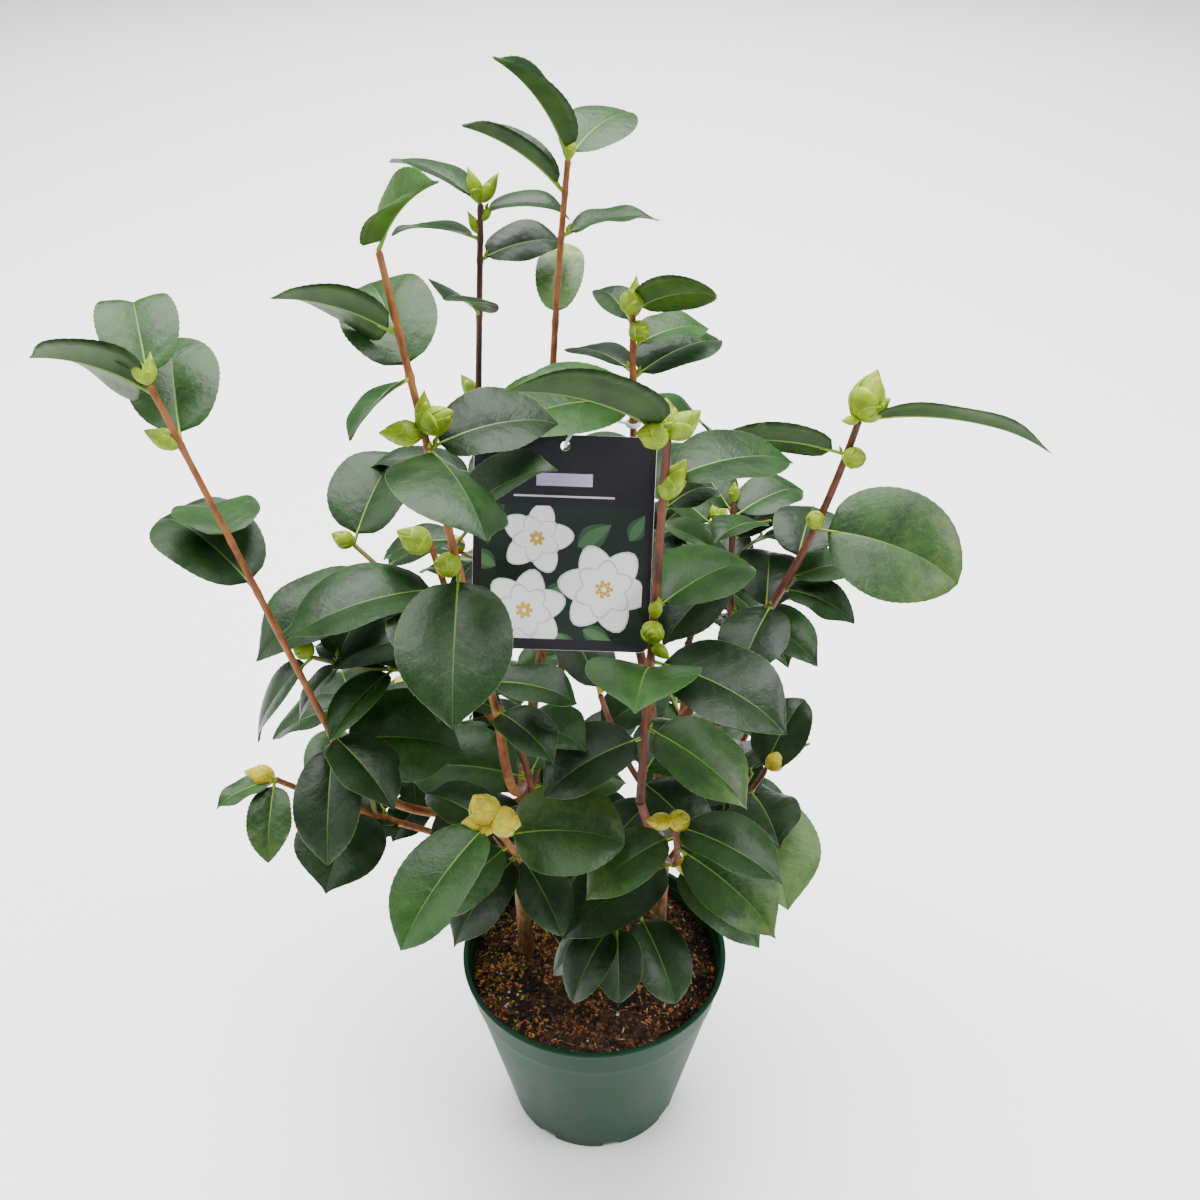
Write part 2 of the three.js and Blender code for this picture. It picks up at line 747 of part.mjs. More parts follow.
function welded(geometry) {
  const bare = geometry.clone();
  bare.deleteAttribute("normal");
  bare.deleteAttribute("uv");
  const merged = mergeVertices(bare, 1e-4);
  const index = [...merged.getIndex().array];
  const kept = [];
  for (let i = 0; i < index.length; i += 3) {
    const [a, b, c] = index.slice(i, i + 3);
    if (a !== b && b !== c && c !== a) {
      kept.push(a, b, c);
    }
  }
  return merged.setIndex(kept);
}

const card = shapeOf(cardShape());
place(card, "card");

// The tie: a ring round the shoot, and a wire loop from it through the card's hole
function tieShapes() {
  const limb = limbs[TIE.on];
  const centre = limbPoint(limb, TIE.at);
  const radius = limbRadius(limb, TIE.at) + TIE.ringWire + TIE.ringGap;
  const profile = Array.from({ length: 6 }, (_, k) => {
    const angle = (2 * Math.PI * k) / 5;
    return new THREE.Vector2(radius + TIE.ringWire * Math.cos(angle), TIE.ringWire * Math.sin(angle));
  });
  const upright = new THREE.Vector3(0, 1, 0);
  const tilt = new THREE.Quaternion().setFromUnitVectors(upright, limbWay(limb, TIE.at));
  const ring = new THREE.LatheGeometry(profile, TIE.ringSegments)
    .applyQuaternion(tilt)
    .translate(...centre.toArray());
  const matrix = cardMatrix();
  const start = centre.clone().add(new THREE.Vector3(-radius, 0, 0));
  const extrudePath = new THREE.CatmullRomCurve3([
    start,
    ...TIE.route.map((point) => vector(point).applyMatrix4(matrix)),
  ]);
  const section = new THREE.Shape().absarc(0, 0, TIE.wire, 0, 2 * Math.PI);
  const settings = { steps: TIE.wireSteps, extrudePath, curveSegments: 3, bevelEnabled: false };
  return [ring, new THREE.ExtrudeGeometry(section, settings)];
}

const tieParts = tieShapes().map(shapeOf);
tieParts.forEach((shape) => place(shape, "tie"));

// Named leaves of every mass first, then the ones that grow by rule between them
const grown = {};
const masses = Object.entries(MASSES);
for (const [name, spec] of masses) {
  grown[name] = limbsOf(name, spec).flatMap(([limb, rows]) => [
    limbShape(limb),
    ...rows.buds.map(([at, bearing, rise, length, fatness = BUD.fatness]) =>
      place(budShape(limbPoint(limb, at), { bearing, rise, length, fatness }), limb),
    ),
    ...rows.leaves.flatMap((row) => placeLeaf(limb, row)),
  ]);
}
masses.forEach(([name, spec], i) => {
  const random = stream(FILL.seed + FILL.seedStep * i);
  for (const [limb, rows] of limbsOf(name, spec)) {
    if (rows.fill) {
      grown[name].push(...fillLeaves(limb, rows.fill, random));
    }
  }
});

function solidOf(shape) {
  const vertProperties = new Float32Array(shape.points.flatMap((point) => point.toArray()));
  const triVerts = new Uint32Array(shape.faces.flat());
  return new wasm.Manifold(new wasm.Mesh({ numProp: 3, vertProperties, triVerts }));
}

function joined(shapes) {
  return wasm.Manifold.union(shapes.map(solidOf));
}

// The largest body of a solid, without scraps that a cut leaves
function mainBody(solid) {
  return solid.decompose().reduce((best, body) => (body.volume() > best.volume() ? body : best));
}

function geometryOf(solid) {
  const { vertProperties, triVerts } = solid.getMesh();
  const geometry = new THREE.BufferGeometry();
  geometry.setAttribute("position", new THREE.BufferAttribute(new Float32Array(vertProperties), 3));
  geometry.setIndex(new THREE.BufferAttribute(new Uint32Array(triVerts), 1));
  geometry.computeVertexNormals();
  return geometry;
}

const camellia = new THREE.Group();

function addMesh(name, solid, colour, roughness) {
  const material = new THREE.MeshStandardMaterial({ color: colour, roughness, metalness: 0 });
  const mesh = new THREE.Mesh(geometryOf(solid), material);
  mesh.name = name;
  camellia.add(mesh);
}

// Pot shell: flat underside, tapered wall, rim band, lip, and back down the inside to the floor
function potSolid() {
  const { height, baseRadius, shoulderRadius, shoulderHeight, bandStep, wall } = POT;
  const lipFoot = height - POT.lipHeight;
  const outline = [
    [0, 0],
    [baseRadius, 0],
    [shoulderRadius, shoulderHeight],
    [shoulderRadius + bandStep, shoulderHeight + 1],
    [POT.rimRadius, lipFoot],
    [POT.lipRadius, lipFoot + POT.lipRound],
    [POT.lipRadius - POT.lipRound, height],
    [POT.rimRadius - wall, height],
    [shoulderRadius + bandStep - wall, shoulderHeight + 1],
    [baseRadius - wall, POT.floor],
    [0, POT.floor],
  ];
  const profile = outline.map(([radius, z]) => new THREE.Vector2(radius, z));
  const lathe = new THREE.LatheGeometry(profile, POT.facets).rotateX(Math.PI / 2);
  let solid = solidOf(shapeOf(lathe));
  for (let i = 0; i < POT.notches; i += 1) {
    const notch = new THREE.BoxGeometry(2 * POT.notchDepth, POT.notchWidth, 2 * POT.notchHeight)
      .translate(baseRadius, 0, 0)
      .rotateZ((2 * Math.PI * (i + 0.25)) / POT.notches);
    solid = solid.subtract(solidOf(shapeOf(notch)));
  }
  return solid;
}

// The soil fills the pot to below its rim
function soilSolid() {
  const low = POT.floor + CLEAR;
  const inside = (z) => {
    const share = (z - POT.floor) / (POT.shoulderHeight + 1 - POT.floor);
    const top = POT.shoulderRadius + POT.bandStep;
    return mix(POT.baseRadius, top, Math.min(share, 1)) - POT.wall;
  };
  const profile = [
    [0, low],
    [inside(low) - SOIL_GAP, low],
    [inside(POT.shoulderHeight + 1) - SOIL_GAP, POT.shoulderHeight + 1],
    [inside(POT.shoulderHeight + 1) - SOIL_GAP, SOIL_TOP],
    [0, SOIL_TOP],
  ].map(([radius, z]) => new THREE.Vector2(radius, z));
  return solidOf(shapeOf(new THREE.LatheGeometry(profile, POT.facets).rotateX(Math.PI / 2)));
}

addMesh("pot", potSolid(), COLOURS.pot, 0.45);
addMesh("soil", soilSolid(), COLOURS.soil, 0.95);
for (const name of Object.keys(STEMS)) {
  addMesh(name, solidOf(limbShape(limbs[name])), COLOURS.stem, 0.8);
}
for (const [name, spec] of Object.entries(BOUGHS)) {
  const cut = solidOf(limbShape(limbs[spec.on], CLEAR));
  addMesh(name, mainBody(solidOf(limbShape(limbs[name])).subtract(cut)), COLOURS.bough, 0.7);
}
for (const [name, spec] of masses) {
  const cut = solidOf(limbShape(limbs[spec.on], CLEAR));
  addMesh(name, mainBody(joined(grown[name]).subtract(cut)), COLOURS.foliage, 0.45);
}
addMesh("label_card", solidOf(card), COLOURS.card, 0.35);
addMesh("label_tie", joined(tieParts), COLOURS.tie, 0.5);

export default camellia;
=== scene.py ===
import math

import bpy
import numpy as np
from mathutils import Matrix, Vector, noise


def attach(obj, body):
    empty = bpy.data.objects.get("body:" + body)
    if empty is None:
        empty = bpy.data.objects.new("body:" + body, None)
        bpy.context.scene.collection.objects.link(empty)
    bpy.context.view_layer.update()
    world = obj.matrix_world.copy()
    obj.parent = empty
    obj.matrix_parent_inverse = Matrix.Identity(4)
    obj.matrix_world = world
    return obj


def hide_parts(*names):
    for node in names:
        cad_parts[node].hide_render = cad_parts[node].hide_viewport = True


# A potted camellia in its nursery pot: two woody stems, their boughs, leafy shoots with flower buds,
# and a card tied to one of the shoots. The plant grows here by the same rule as its solids did.
# Sizes are millimetres and degrees until a mesh is made, which is in metres.
# X is right, Y is back, Z is up, and the origin is the middle of the pot's underside.
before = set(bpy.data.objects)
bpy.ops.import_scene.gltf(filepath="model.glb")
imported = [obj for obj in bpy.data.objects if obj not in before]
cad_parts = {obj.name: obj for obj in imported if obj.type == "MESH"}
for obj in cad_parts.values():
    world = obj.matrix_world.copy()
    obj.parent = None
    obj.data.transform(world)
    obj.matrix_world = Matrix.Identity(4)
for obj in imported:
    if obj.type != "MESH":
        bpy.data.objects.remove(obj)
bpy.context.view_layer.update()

MM = 0.001

# Gaps between neighbouring solids, and the room kept round each new leaf
CLEAR = 0.3
SKIN = 0.6

# Three-litre nursery pot. Its band is the upright part below the rim, a step out from the shoulder.
POT = {
    "height": 145,
    "base_radius": 63,
    "shoulder_radius": 88.5,
    "shoulder_height": 119,
    "band_step": 1.3,
    "band_rise": 1.2,
    "rim_radius": 93,
    "lip_radius": 95,
    "lip_height": 2.5,
    "wall": 1.8,
    "floor": 4.5,
    "notches": 8,
    "notch_width": 13,
    "notch_height": 3,
    "notch_depth": 5,
    "notch_slope": 0.8,
    "foot_ring": 14,
    "columns": 288,
}
# The lip's section from its outer top corner: up and over it, and down inside to the ledge
LIP_SECTION = [
    (-0.5, -2.6), (-0.1, -2.2), (0, -1.6), (0, -0.8), (-0.2, -0.25), (-0.7, 0), (-2.9, 0), (-3.8, -0.4),
    (-4, -1.2), (-4.3, -7), (-4.4, -8.6), (-5, -9), (-5.3, -9.5),
]
SOIL_TOP = 128

# Lowest height of any leaf: just over the pot's rim
LEAF_FLOOR = POT["height"] + 3

# Leaf: shares of its length, and ratios to its length
LEAF = {
    "stations": [0, 0.1, 0.3, 0.68],
    "petiole": 0.1,
    "petiole_radius": 1.1,
    "blade_thick": 1.1,
    "width": 0.64,
    "coarse_gain": 1.06,
    "belly_at": 0.92,
    "fold": 0.16,
    "outline": (0.4, 0.36),
    "bend": 40,
}

# Bud: shares of its length, radius as shares of its widest, and its radius to its length
BUD = {"stations": [0, 0.28, 0.66, 1], "girth": [0.22, 1, 0.86, 0], "fatness": 0.34, "sides": 5}
SLIM = 0.2  # fatness of a leaf bud or a young flower bud

# Small turns tried in this order when a leaf would touch something: bearing, rise
TURNS = [
    (0, 0), (10, 0), (-10, 0), (0, 10), (0, -10), (18, 6), (-18, 6), (18, -8), (-18, -8),
    (0, 20), (0, -20), (28, 0), (-28, 0),
]

# The two woody stems, each from its flat cut on the soil to its tip
STEM_FOOT = SOIL_TOP + CLEAR
STEMS = {
    "left_stem": {
        "from": [-50, 14, STEM_FOOT], "to": [-27, 28, 420], "bow": [-10, -8, 0], "thick": [5.3, 2.9],
    },
    "right_stem": {"from": [46, 18, STEM_FOOT], "to": [25, 10, 420], "bow": [10, 4, 0], "thick": [5, 2.8]},
}
FLARE = {"share": 0.35, "height": 9, "rings": [0, 0.02, 0.05]}
LEAST_RING_STEP = 0.01

# Boughs: the stem each leaves, how far up it, and the bough's tip
BOUGHS = {
    "left_bough": {"on": "left_stem", "at": 0.5, "to": [-150, -59, 379], "bow": [-16, -8, -20]},
    "front_left_bough": {"on": "left_stem", "at": 0.56, "to": [-53, -78, 416], "bow": [0, -16, -14]},
    "left_inner_bough": {"on": "left_stem", "at": 0.68, "to": [-74, -16, 412], "bow": [-6, -8, -6]},
    "back_left_bough": {"on": "left_stem", "at": 0.62, "to": [-75, 52, 430], "bow": [-10, 8, -12]},
    "back_bough": {"on": "left_stem", "at": 0.42, "to": [-22, 98, 356], "bow": [6, 14, -14]},
    "front_right_bough": {"on": "right_stem", "at": 0.42, "to": [28, -66, 345], "bow": [2, -10, -12]},
    "right_bough": {"on": "right_stem", "at": 0.55, "to": [100, -3, 430], "bow": [8, 0, -14]},
    "middle_right_bough": {"on": "right_stem", "at": 0.66, "to": [88, 40, 400], "bow": [6, 4, -10]},
    "back_right_bough": {"on": "right_stem", "at": 0.4, "to": [66, 92, 350], "bow": [4, 12, -12]},
}
BOUGH_THICK = [3.3, 2.6]

# Sides and steps of each kind of limb
FACETS = {"stem": [8, 8], "bough": [6, 5], "shoot": [4, 5], "twig": [3, 3]}

# Leafy masses: the limb that carries each, its own main shoot, and what grows on it.
# A leaf is [share of the shoot, bearing, rise, length, roll, width], a bud [share, bearing, rise,
# length, fatness]; the last values are left out where they are the usual ones.
# Bearing turns from +X towards +Y; rise is the slope of the line from foot to tip.
# Fill is the stretch of the shoot where leaves grow by rule, as two shares, and how many.
MASSES = {
    "left_shoot": {
        "on": "left_bough", "to": [-212, -75, 617], "thick": [2.1, 1.6],
        "leaves": [[1, 110, 30, 62], [0.98, 165, 10, 68, 50], [0.86, 105, 28, 72],
                   [0.62, 118, -4, 54, 10, 0.85], [0.48, 145, 20, 78, 0, 0.7],
                   [0.03, -91, -45, 71, 0, 0.56], [0.02, 8, -10, 76, 30, 0.8],
                   [0.05, -44, -22, 60, 0, 0.7]],
        "buds": [[1, 144, 43, 19, SLIM], [1, 80, 65, 16, SLIM], [0.86, 170, 20, 20, 0.26]],
    },
    "front_left_shoot": {
        "on": "front_left_bough", "to": [-97, -70, 681], "bow": [4, -21, 0], "thick": [2.3, 1.7],
        "leaves": [[1, -42, 41, 60], [0.86, 165, 11, 66, 44, 0.58], [0.79, 113, 22, 72, -16, 0.7],
                   [0.79, -124, -18, 46, 25, 0.42], [0.66, -65, -4, 80, 0, 0.8], [0.66, 20, 4, 66, 22],
                   [0.5, -6, 35, 68, 12, 0.66], [0.41, -90, -34, 80, 0, 0.72], [0.12, -14, -4, 50],
                   [0.03, -45, -10, 48]],
        "buds": [[0.69, -164, 8, 22, 0.28], [0.7, -26, 35, 22, 0.31], [0.7, -33, 82, 21, SLIM],
                 [0.69, -120, 70, 14, SLIM], [0.42, -133, 29, 18]],
    },
    "left_inner_shoots": {
        "on": "left_inner_bough", "to": [-88, -50, 516], "fill": (0.1, 0.6, 2),
        "leaves": [[0.62, -158, -6, 92], [0.2, -172, 0, 78], [0.35, 60, 10, 62], [0.2, -100, -15, 60]],
        "buds": [[0.95, -167, 35, 22]],
        "twigs": [
            {"at": 0.15, "to": [-142, 10, 478],
             "leaves": [[1, 66, 32, 70, 0, 0.8], [0.75, 15, 12, 52], [0.6, -155, -15, 92]],
             "buds": [[1, -160, 40, 16]]},
            {"at": 0.02, "to": [-161, -46, 436], "bow": [0, 0, -8],
             "leaves": [[1, -160, -52, 62, 0, 0.5], [0.82, -163, -49, 46, 0, 0.5],
                        [0.5, -131, -32, 56, 0, 0.5], [0.49, 160, 5, 56], [0.28, 165, 14, 62],
                        [0.86, 80, -10, 56]],
             "buds": [[1, 150, 30, 17]]},
        ],
    },
    "back_left_shoot": {
        "on": "back_left_bough", "to": [-59, 35, 672], "thick": [2.2, 1.6],
        "leaves": [[1, 152, 15, 60, 12], [0.98, 5, 0, 48, -14], [0.92, 170, 2, 50, 26],
                   [0.87, 18, 8, 48, 22], [0.74, -104, 28, 60], [0.5, -64, 16, 60], [0.3, 170, 10, 65],
                   [0.25, 60, 10, 65]],
        "buds": [[1, 150, 68, 20, SLIM], [1, 20, 55, 19, SLIM], [0.93, 160, 60, 14, SLIM],
                 [0.52, 150, 50, 18, 0.25], [0.96, 0, 50, 12, SLIM]],
    },
    "top_shoot": {
        "on": "left_stem", "to": [-12, 10, 701], "bow": [-4, 0, 0], "thick": [2.4, 1.5],
        "leaves": [[1, -132, 48, 74, 20, 0.42], [1, 55, 14, 55], [0.94, 165, 29, 62, 15],
                   [0.86, 15, 5, 54, -12], [0.69, 86, 22, 66, 0, 0.4], [0.4, 150, 15, 68],
                   [0.34, 20, 10, 62], [0.22, -60, 5, 65], [0.12, 80, 10, 70]],
        "buds": [[1, 60, 75, 13, 0.26]],
    },
    "back_right_shoot": {
        "on": "right_stem", "to": [21, -5, 628], "thick": [2.5, 1.6],
        "leaves": [[1, -28, 20, 50, 26], [0.96, 118, 14, 38], [0.9, 30, 3, 48], [0.81, 36, 8, 62, 12],
                   [0.83, 132, -2, 52, 10], [0.74, -150, 2, 88, -12, 0.64], [0.7, 34, -20, 58],
                   [0.45, 70, 5, 70], [0.3, 150, 10, 66], [0.16, 70, 5, 62]],
        "buds": [[1, -100, 55, 18], [1, 45, 82, 19, SLIM], [0.95, -60, 10, 16]],
    },
    "front_right_shoot": {
        "on": "front_right_bough", "to": [36, -95, 599], "thick": [2.7, 2],
        "leaves": [[1, -166, 22, 86, 50, 0.48], [0.9, 24, -2, 74], [0.83, 50, -4, 44],
                   [0.58, 60, 10, 64, 0, 0.85], [0.42, -98, 20, 80, 0, 0.75], [0.44, -43, -8, 84, 8, 0.68],
                   [0.21, -158, -20, 66, 0, 0.75], [0.24, -32, -22, 72, 0, 0.74], [0.08, 60, 0, 62]],
        "buds": [[1, 100, 70, 19], [1, 0, 42, 21, 0.3], [1, -150, 20, 19], [0.86, 0, 64, 25, 0.24],
                 [0.52, -95, 35, 18], [0.56, -60, 78, 18, SLIM], [0.49, -30, -30, 13, 0.28]],
    },
    "right_shoot": {
        "on": "right_bough", "to": [139, -35, 580], "bow": [4, 0, -3], "thick": [2.5, 1.9],
        "leaves": [[1, -20, 0, 98, -20], [0.86, 176, 0, 88, 42], [0.52, -18, -12, 84, 38, 0.74],
                   [0.35, 72, 16, 50, 0, 0.78], [0.21, -22, -14, 46], [0.26, 20, 0, 48],
                   [0.12, -116, -20, 58, 0, 0.7], [0.06, 100, 5, 62]],
        "buds": [[1, 30, 72, 28, 0.33], [1, -10, 42, 20, 0.28], [1, 175, 62, 14, SLIM],
                 [1, -150, 10, 13, SLIM], [0.85, -60, 20, 17], [0.57, -120, 25, 15]],
    },
    "middle_right_shoot": {
        "on": "middle_right_bough", "to": [85, 40, 490], "fill": (0.05, 0.5, 3),
        "leaves": [[0.88, 30, 8, 54], [0.7, 50, 0, 46], [0.5, 170, 18, 56], [0.31, -10, 0, 52],
                   [0.9, 130, 25, 55]],
        "buds": [[1, 80, 80, 13, 0.26]],
    },
    "front_low_shoot": {
        "on": "left_stem", "at": 0.37, "to": [-57, -105, 365], "bow": [6, -8, -10], "thick": [2.4, 1.9],
        "leaves": [[0.84, -6, 3, 72, 38, 0.8], [1, -134, -34, 86, 0, 0.56], [0.72, -140, -28, 58],
                   [0.4, -54, -34, 56], [0.2, -140, -20, 70], [0.85, 150, 10, 56], [0.45, -133, -31, 68]],
        "buds": [[1, 178, 62, 21, 0.43], [1, -28, 14, 20, 0.43], [1, -170, 2, 18, 0.3],
                 [1, -120, -20, 12, 0.36]],
    },
    "right_low_shoot": {
        "on": "right_stem", "at": 0.3, "to": [46, -90, 350], "bow": [6, -10, -8], "thick": [2.3, 1.8],
        "leaves": [[0.97, -32, -7, 72], [0.74, -38, -20, 78], [0.89, -154, -23, 64], [0.45, -154, -21, 88],
                   [0.3, -36, -24, 76], [0.45, 40, 0, 66]],
        "buds": [[1, -50, 40, 18], [1, -165, 15, 17, 0.3], [0.45, -20, -10, 19, 0.3]],
    },
    "left_low_shoots": {
        "on": "left_stem", "at": 0.33, "to": [-192, -55, 352], "bow": [-15, 10, -8], "thick": [2.5, 1.8],
        "leaves": [[1, -91, -38, 48, 0, 0.55], [1, -150, -8, 38, 0, 0.45], [0.62, -100, -8, 66, 0, 0.86],
                   [0.76, 60, 10, 60], [0.42, -160, 0, 66], [0.5, 120, 10, 66]],
        "buds": [[1, 170, 10, 20]],
        "twigs": [
            {"at": 0.55, "to": [-150, -8, 372],
             "leaves": [[1, -170, -20, 56], [0.9, 120, 0, 58], [0.7, 30, 20, 60], [0.5, -110, -5, 56]]},
        ],
    },
    "middle_shoot": {
        "on": "left_stem", "at": 0.46, "to": [-50, -50, 398], "bow": [10, -10, -8], "thick": [2.2, 1.7],
        "leaves": [[1, 150, 0, 60], [0.94, -50, 14, 60], [0.58, -175, 2, 80, 0, 0.82], [0.3, -165, -6, 78],
                   [0.6, 70, 0, 60], [0.5, 20, -10, 66]],
    },
    "centre_shoot": {
        "on": "right_stem", "at": 0.5, "to": [4, -44, 408], "bow": [0, -12, -8], "thick": [2.2, 1.7],
        "leaves": [[1, 108, 5, 54], [0.6, 0, -10, 60], [0.4, -60, -30, 62]],
        "buds": [[1, 60, 70, 14, SLIM]],
    },
    "front_bottom_shoot": {
        "on": "right_stem", "at": 0.2, "to": [12, -58, 232], "bow": [4, -6, 0], "thick": [2.1, 1.6],
        "leaves": [[1, -125, -34, 54], [0.94, -88, -38, 50], [0.6, -62, -35, 62], [0.8, -160, -30, 60],
                   [0.4, 160, 5, 60]],
    },
    "right_low_side_shoot": {
        "on": "right_stem", "at": 0.36, "to": [112, -5, 318], "bow": [6, -4, -8], "thick": [2.3, 1.8],
        "fill": (0.3, 0.9, 3),
        "leaves": [[0.8, -72, -30, 78, 0, 0.8], [0.95, 50, 40, 60], [0.55, -100, -25, 60],
                   [0.5, 70, 10, 64]],
        "buds": [[1, 20, 30, 18]],
    },
    "back_shoots": {
        "on": "back_bough", "to": [-28, 138, 446], "bow": [0, 10, 0], "fill": (0.2, 1, 7),
        "buds": [[1, 90, 75, 18]],
        "twigs": [
            {"at": 0.2, "to": [-92, 128, 402], "fill": (0.3, 1, 5), "buds": [[1, 150, 45, 17]]},
            {"at": 0.35, "to": [22, 132, 410], "fill": (0.35, 1, 4)},
        ],
    },
    "back_right_shoots": {
        "on": "back_right_bough", "to": [84, 124, 428], "bow": [4, 8, 0], "fill": (0.15, 1, 7),
        "buds": [[1, 60, 70, 18]],
        "twigs": [
            {"at": 0.3, "to": [128, 84, 392], "fill": (0.3, 1, 5), "buds": [[1, 20, 40, 17]]},
        ],
    },
    "back_low_left_shoots": {
        "on": "left_stem", "at": 0.28, "to": [-132, 88, 306], "bow": [-6, 12, -8], "thick": [2.4, 1.8],
        "fill": (0.35, 1, 6),
        "buds": [[1, 140, 40, 18]],
        "twigs": [
            {"at": 0.55, "to": [-72, 132, 292], "fill": (0.3, 1, 4)},
            {"at": 0.7, "to": [-156, 44, 326], "fill": (0.35, 1, 4)},
        ],
    },
    "back_low_right_shoots": {
        "on": "right_stem", "at": 0.26, "to": [116, 90, 286], "bow": [6, 10, -8], "thick": [2.4, 1.8],
        "fill": (0.3, 1, 6),
        "buds": [[1, 40, 40, 18]],
        "twigs": [
            {"at": 0.5, "to": [52, 132, 286], "fill": (0.3, 1, 4)},
            {"at": 0.6, "to": [138, 34, 300], "fill": (0.4, 1, 4)},
        ],
    },
    "back_bottom_shoot": {
        "on": "left_stem", "at": 0.18, "to": [-14, 104, 236], "bow": [0, 8, -4], "thick": [2.2, 1.7],
        "fill": (0.4, 1, 6),
    },
}
SHOOT_THICK = [2.4, 1.7]
TWIG_THICK = [1.8, 1.4]


def held(left, right, **rest):
    """How a leaf is held whose halves fold up by these degrees, without a twist unless one is named."""
    return {"twist": 0, "left": left, "right": right} | rest


# Young leaves: an upper skin whose pale green is partly their own colour and partly painted light shining
# through the leaf, and an underside painted darker with shade
YOUNG_PAINTED_GLOW_AND_SHADE = {"skin": "waxy_leaf_young_painted_glow", "under": "young_leaf_underside"}

# Leaves with a form or skin of their own, by their mass and place in its row: how far each half folds up,
# the turn of the foot and the twist towards the tip in degrees, the droop of the tip, how drawn out it is
# and where it is widest (lower is nearer the tip), its width to the usual one, and its sides' finishes
LOOKS = {
    "left_shoot": {
        0: held(12, 12, curl=2.6, point=0.2, skin="waxy_leaf_green_painted_lit"),
        1: held(4, 4, turn=35, twist=-60, curl=0, point=1.2, belly_at=0.75),
        2: held(6, 6, point=0.3, skin="waxy_leaf_green_painted_lit"),
    },
    "front_left_shoot": {
        0: held(66, -2, curl=0, point=1.6, belly_at=0.55, wide=0.9, **YOUNG_PAINTED_GLOW_AND_SHADE),
        1: held(4, 4, turn=40, twist=-60, curl=0, point=1.2, belly_at=0.75, wide=0.85,
                skin="waxy_leaf_green_painted_lit"),
        2: held(5, 5, point=0.3, wide=0.92, skin="waxy_leaf_green_painted_lit"),
        3: {"wide": 1.5},
        4: held(-45, 4, point=0.9),
    },
    "back_left_shoot": {
        0: held(8, 8, curl=0.2, point=0.9),
        1: held(10, 10, turn=10, twist=10, curl=1.5),
        2: held(6, 6, turn=-14),
        4: held(6, 6, turn=-15, curl=0.2),
    },
    "back_right_shoot": {
        0: held(4, -3, turn=-80, curl=0.2, point=0.1, wide=0.95, **YOUNG_PAINTED_GLOW_AND_SHADE),
        5: held(4, 4, curl=0.1, point=0.7, skin="waxy_leaf_green_painted_lit"),
    },
    "top_shoot": {
        0: held(4, 88, curl=0, point=1.2, belly_at=0.75, wide=0.85),
        1: held(4, 4, turn=12, curl=0, point=0.2, skin="waxy_leaf_green_painted_lit"),
        2: held(40, 40, curl=0, point=1.2, wide=0.65),
        3: held(10, 10, turn=10, curl=0.1, point=1.6, wide=0.85, skin="waxy_leaf_green_painted_lit"),
        4: held(5, 5, curl=0.2, point=0.4, skin="waxy_leaf_mottled"),
    },
    "front_right_shoot": {
        0: held(4, 70, curl=0, point=1.4, belly_at=0.7, wide=1.2),
        4: {"skin": "waxy_leaf_green_painted_lit"},
        5: {"wide": 0.92},
        7: {"skin": "waxy_leaf_bloomed"},
    },
    "right_shoot": {
        0: held(10, 10, turn=-12, curl=0.4, point=1.1, wide=0.65),
        1: held(4, 4, turn=35, twist=-55, curl=0, point=0.8, wide=0.6),
        2: held(4, 4, point=0.2, wide=1.08, skin="waxy_leaf_bloomed"),
    },
    "front_low_shoot": {0: {"point": 0.3, "skin": "waxy_leaf_side_bloomed"}},
    "front_bottom_shoot": {place: {"point": 0.3} for place in range(4)},
    "right_low_side_shoot": {place: {"skin": "waxy_leaf_olive"} for place in (0, 2)},
}

# Leaves that grow by rule: the turn from one to the next, their ranges, and the space that they keep to,
# which is a distance from the middle of their own shoot and an upright oval round the crown
FILL = {
    "turn": 137.5,
    "jitter": 24,
    "rise": (-22, 26),
    "length": (58, 78),
    "roll": 12,
    "reach": 120,
    "seed": 1000,
    "seed_step": 77,
}
CROWN = {"middle": (-22, 20), "reach": (166, 190)}

# Finer twigs, which only show close by: short side twigs on the masses that fill the crown's inside and back
FINE = {
    "thick": [1.3, 0.9],
    "stretch": (0.25, 0.95),
    "length": (24, 40),
    "rise": (0, 40),
    "leaf_length": (40, 60),
    "leaves": 3,
    "per_limb": 3,
    "seed": 5000,
}

# Plant label: a plain card that leans back on the leaves, and the loop that ties it to a shoot
CARD = {"width": 97, "height": 118, "thick": 0.8, "corner": 5, "lean": 20, "top": (-14, -30, 569), "turn": -2}
CARD_HOLE = {"down": 6, "radius": 2.6}
TIE = {
    "on": "back_right_shoot",
    "at": 0.68,
    "ring_wire": 1.1,
    "ring_gap": 0.4,
    "wire": 0.9,
    # After the ring: across the card, up it and out of its face, all from the middle of its top edge
    "route": [(20, 8, -12), (6, 5, -4), (1.5, -2, -3.4), (0, -6, 0), (1, -2.4, 3), (5, 3.4, 1.6), (9, 7, -4)],
}

RIGHT, BACK, UP = np.eye(3)


def mix(low, high, share):
    return low + (high - low) * share


def unit(vectors):
    return vectors / np.linalg.norm(vectors, axis=-1, keepdims=True)


def circle(count):
    """Angles at even steps round a circle."""
    return 2 * math.pi * np.arange(count) / count


def polar(radius, angle, height=0.0):
    """Points at a distance and an angle about the upright axis."""
    return np.stack(np.broadcast_arrays(radius * np.cos(angle), radius * np.sin(angle), height), -1)


def turned(x, y, angle):
    """Two coordinates after a turn about their origin."""
    return x * math.cos(angle) - y * math.sin(angle), x * math.sin(angle) + y * math.cos(angle)


def heading(bearing, rise=0.0):
    """The unit vector at a bearing and a rise in radians."""
    flat = math.cos(rise)
    return np.array([math.cos(bearing) * flat, math.sin(bearing) * flat, math.sin(rise)])


def left_of(bearing):
    """The level unit vector to the left of a bearing in radians."""
    return np.array([-math.sin(bearing), math.cos(bearing), 0])


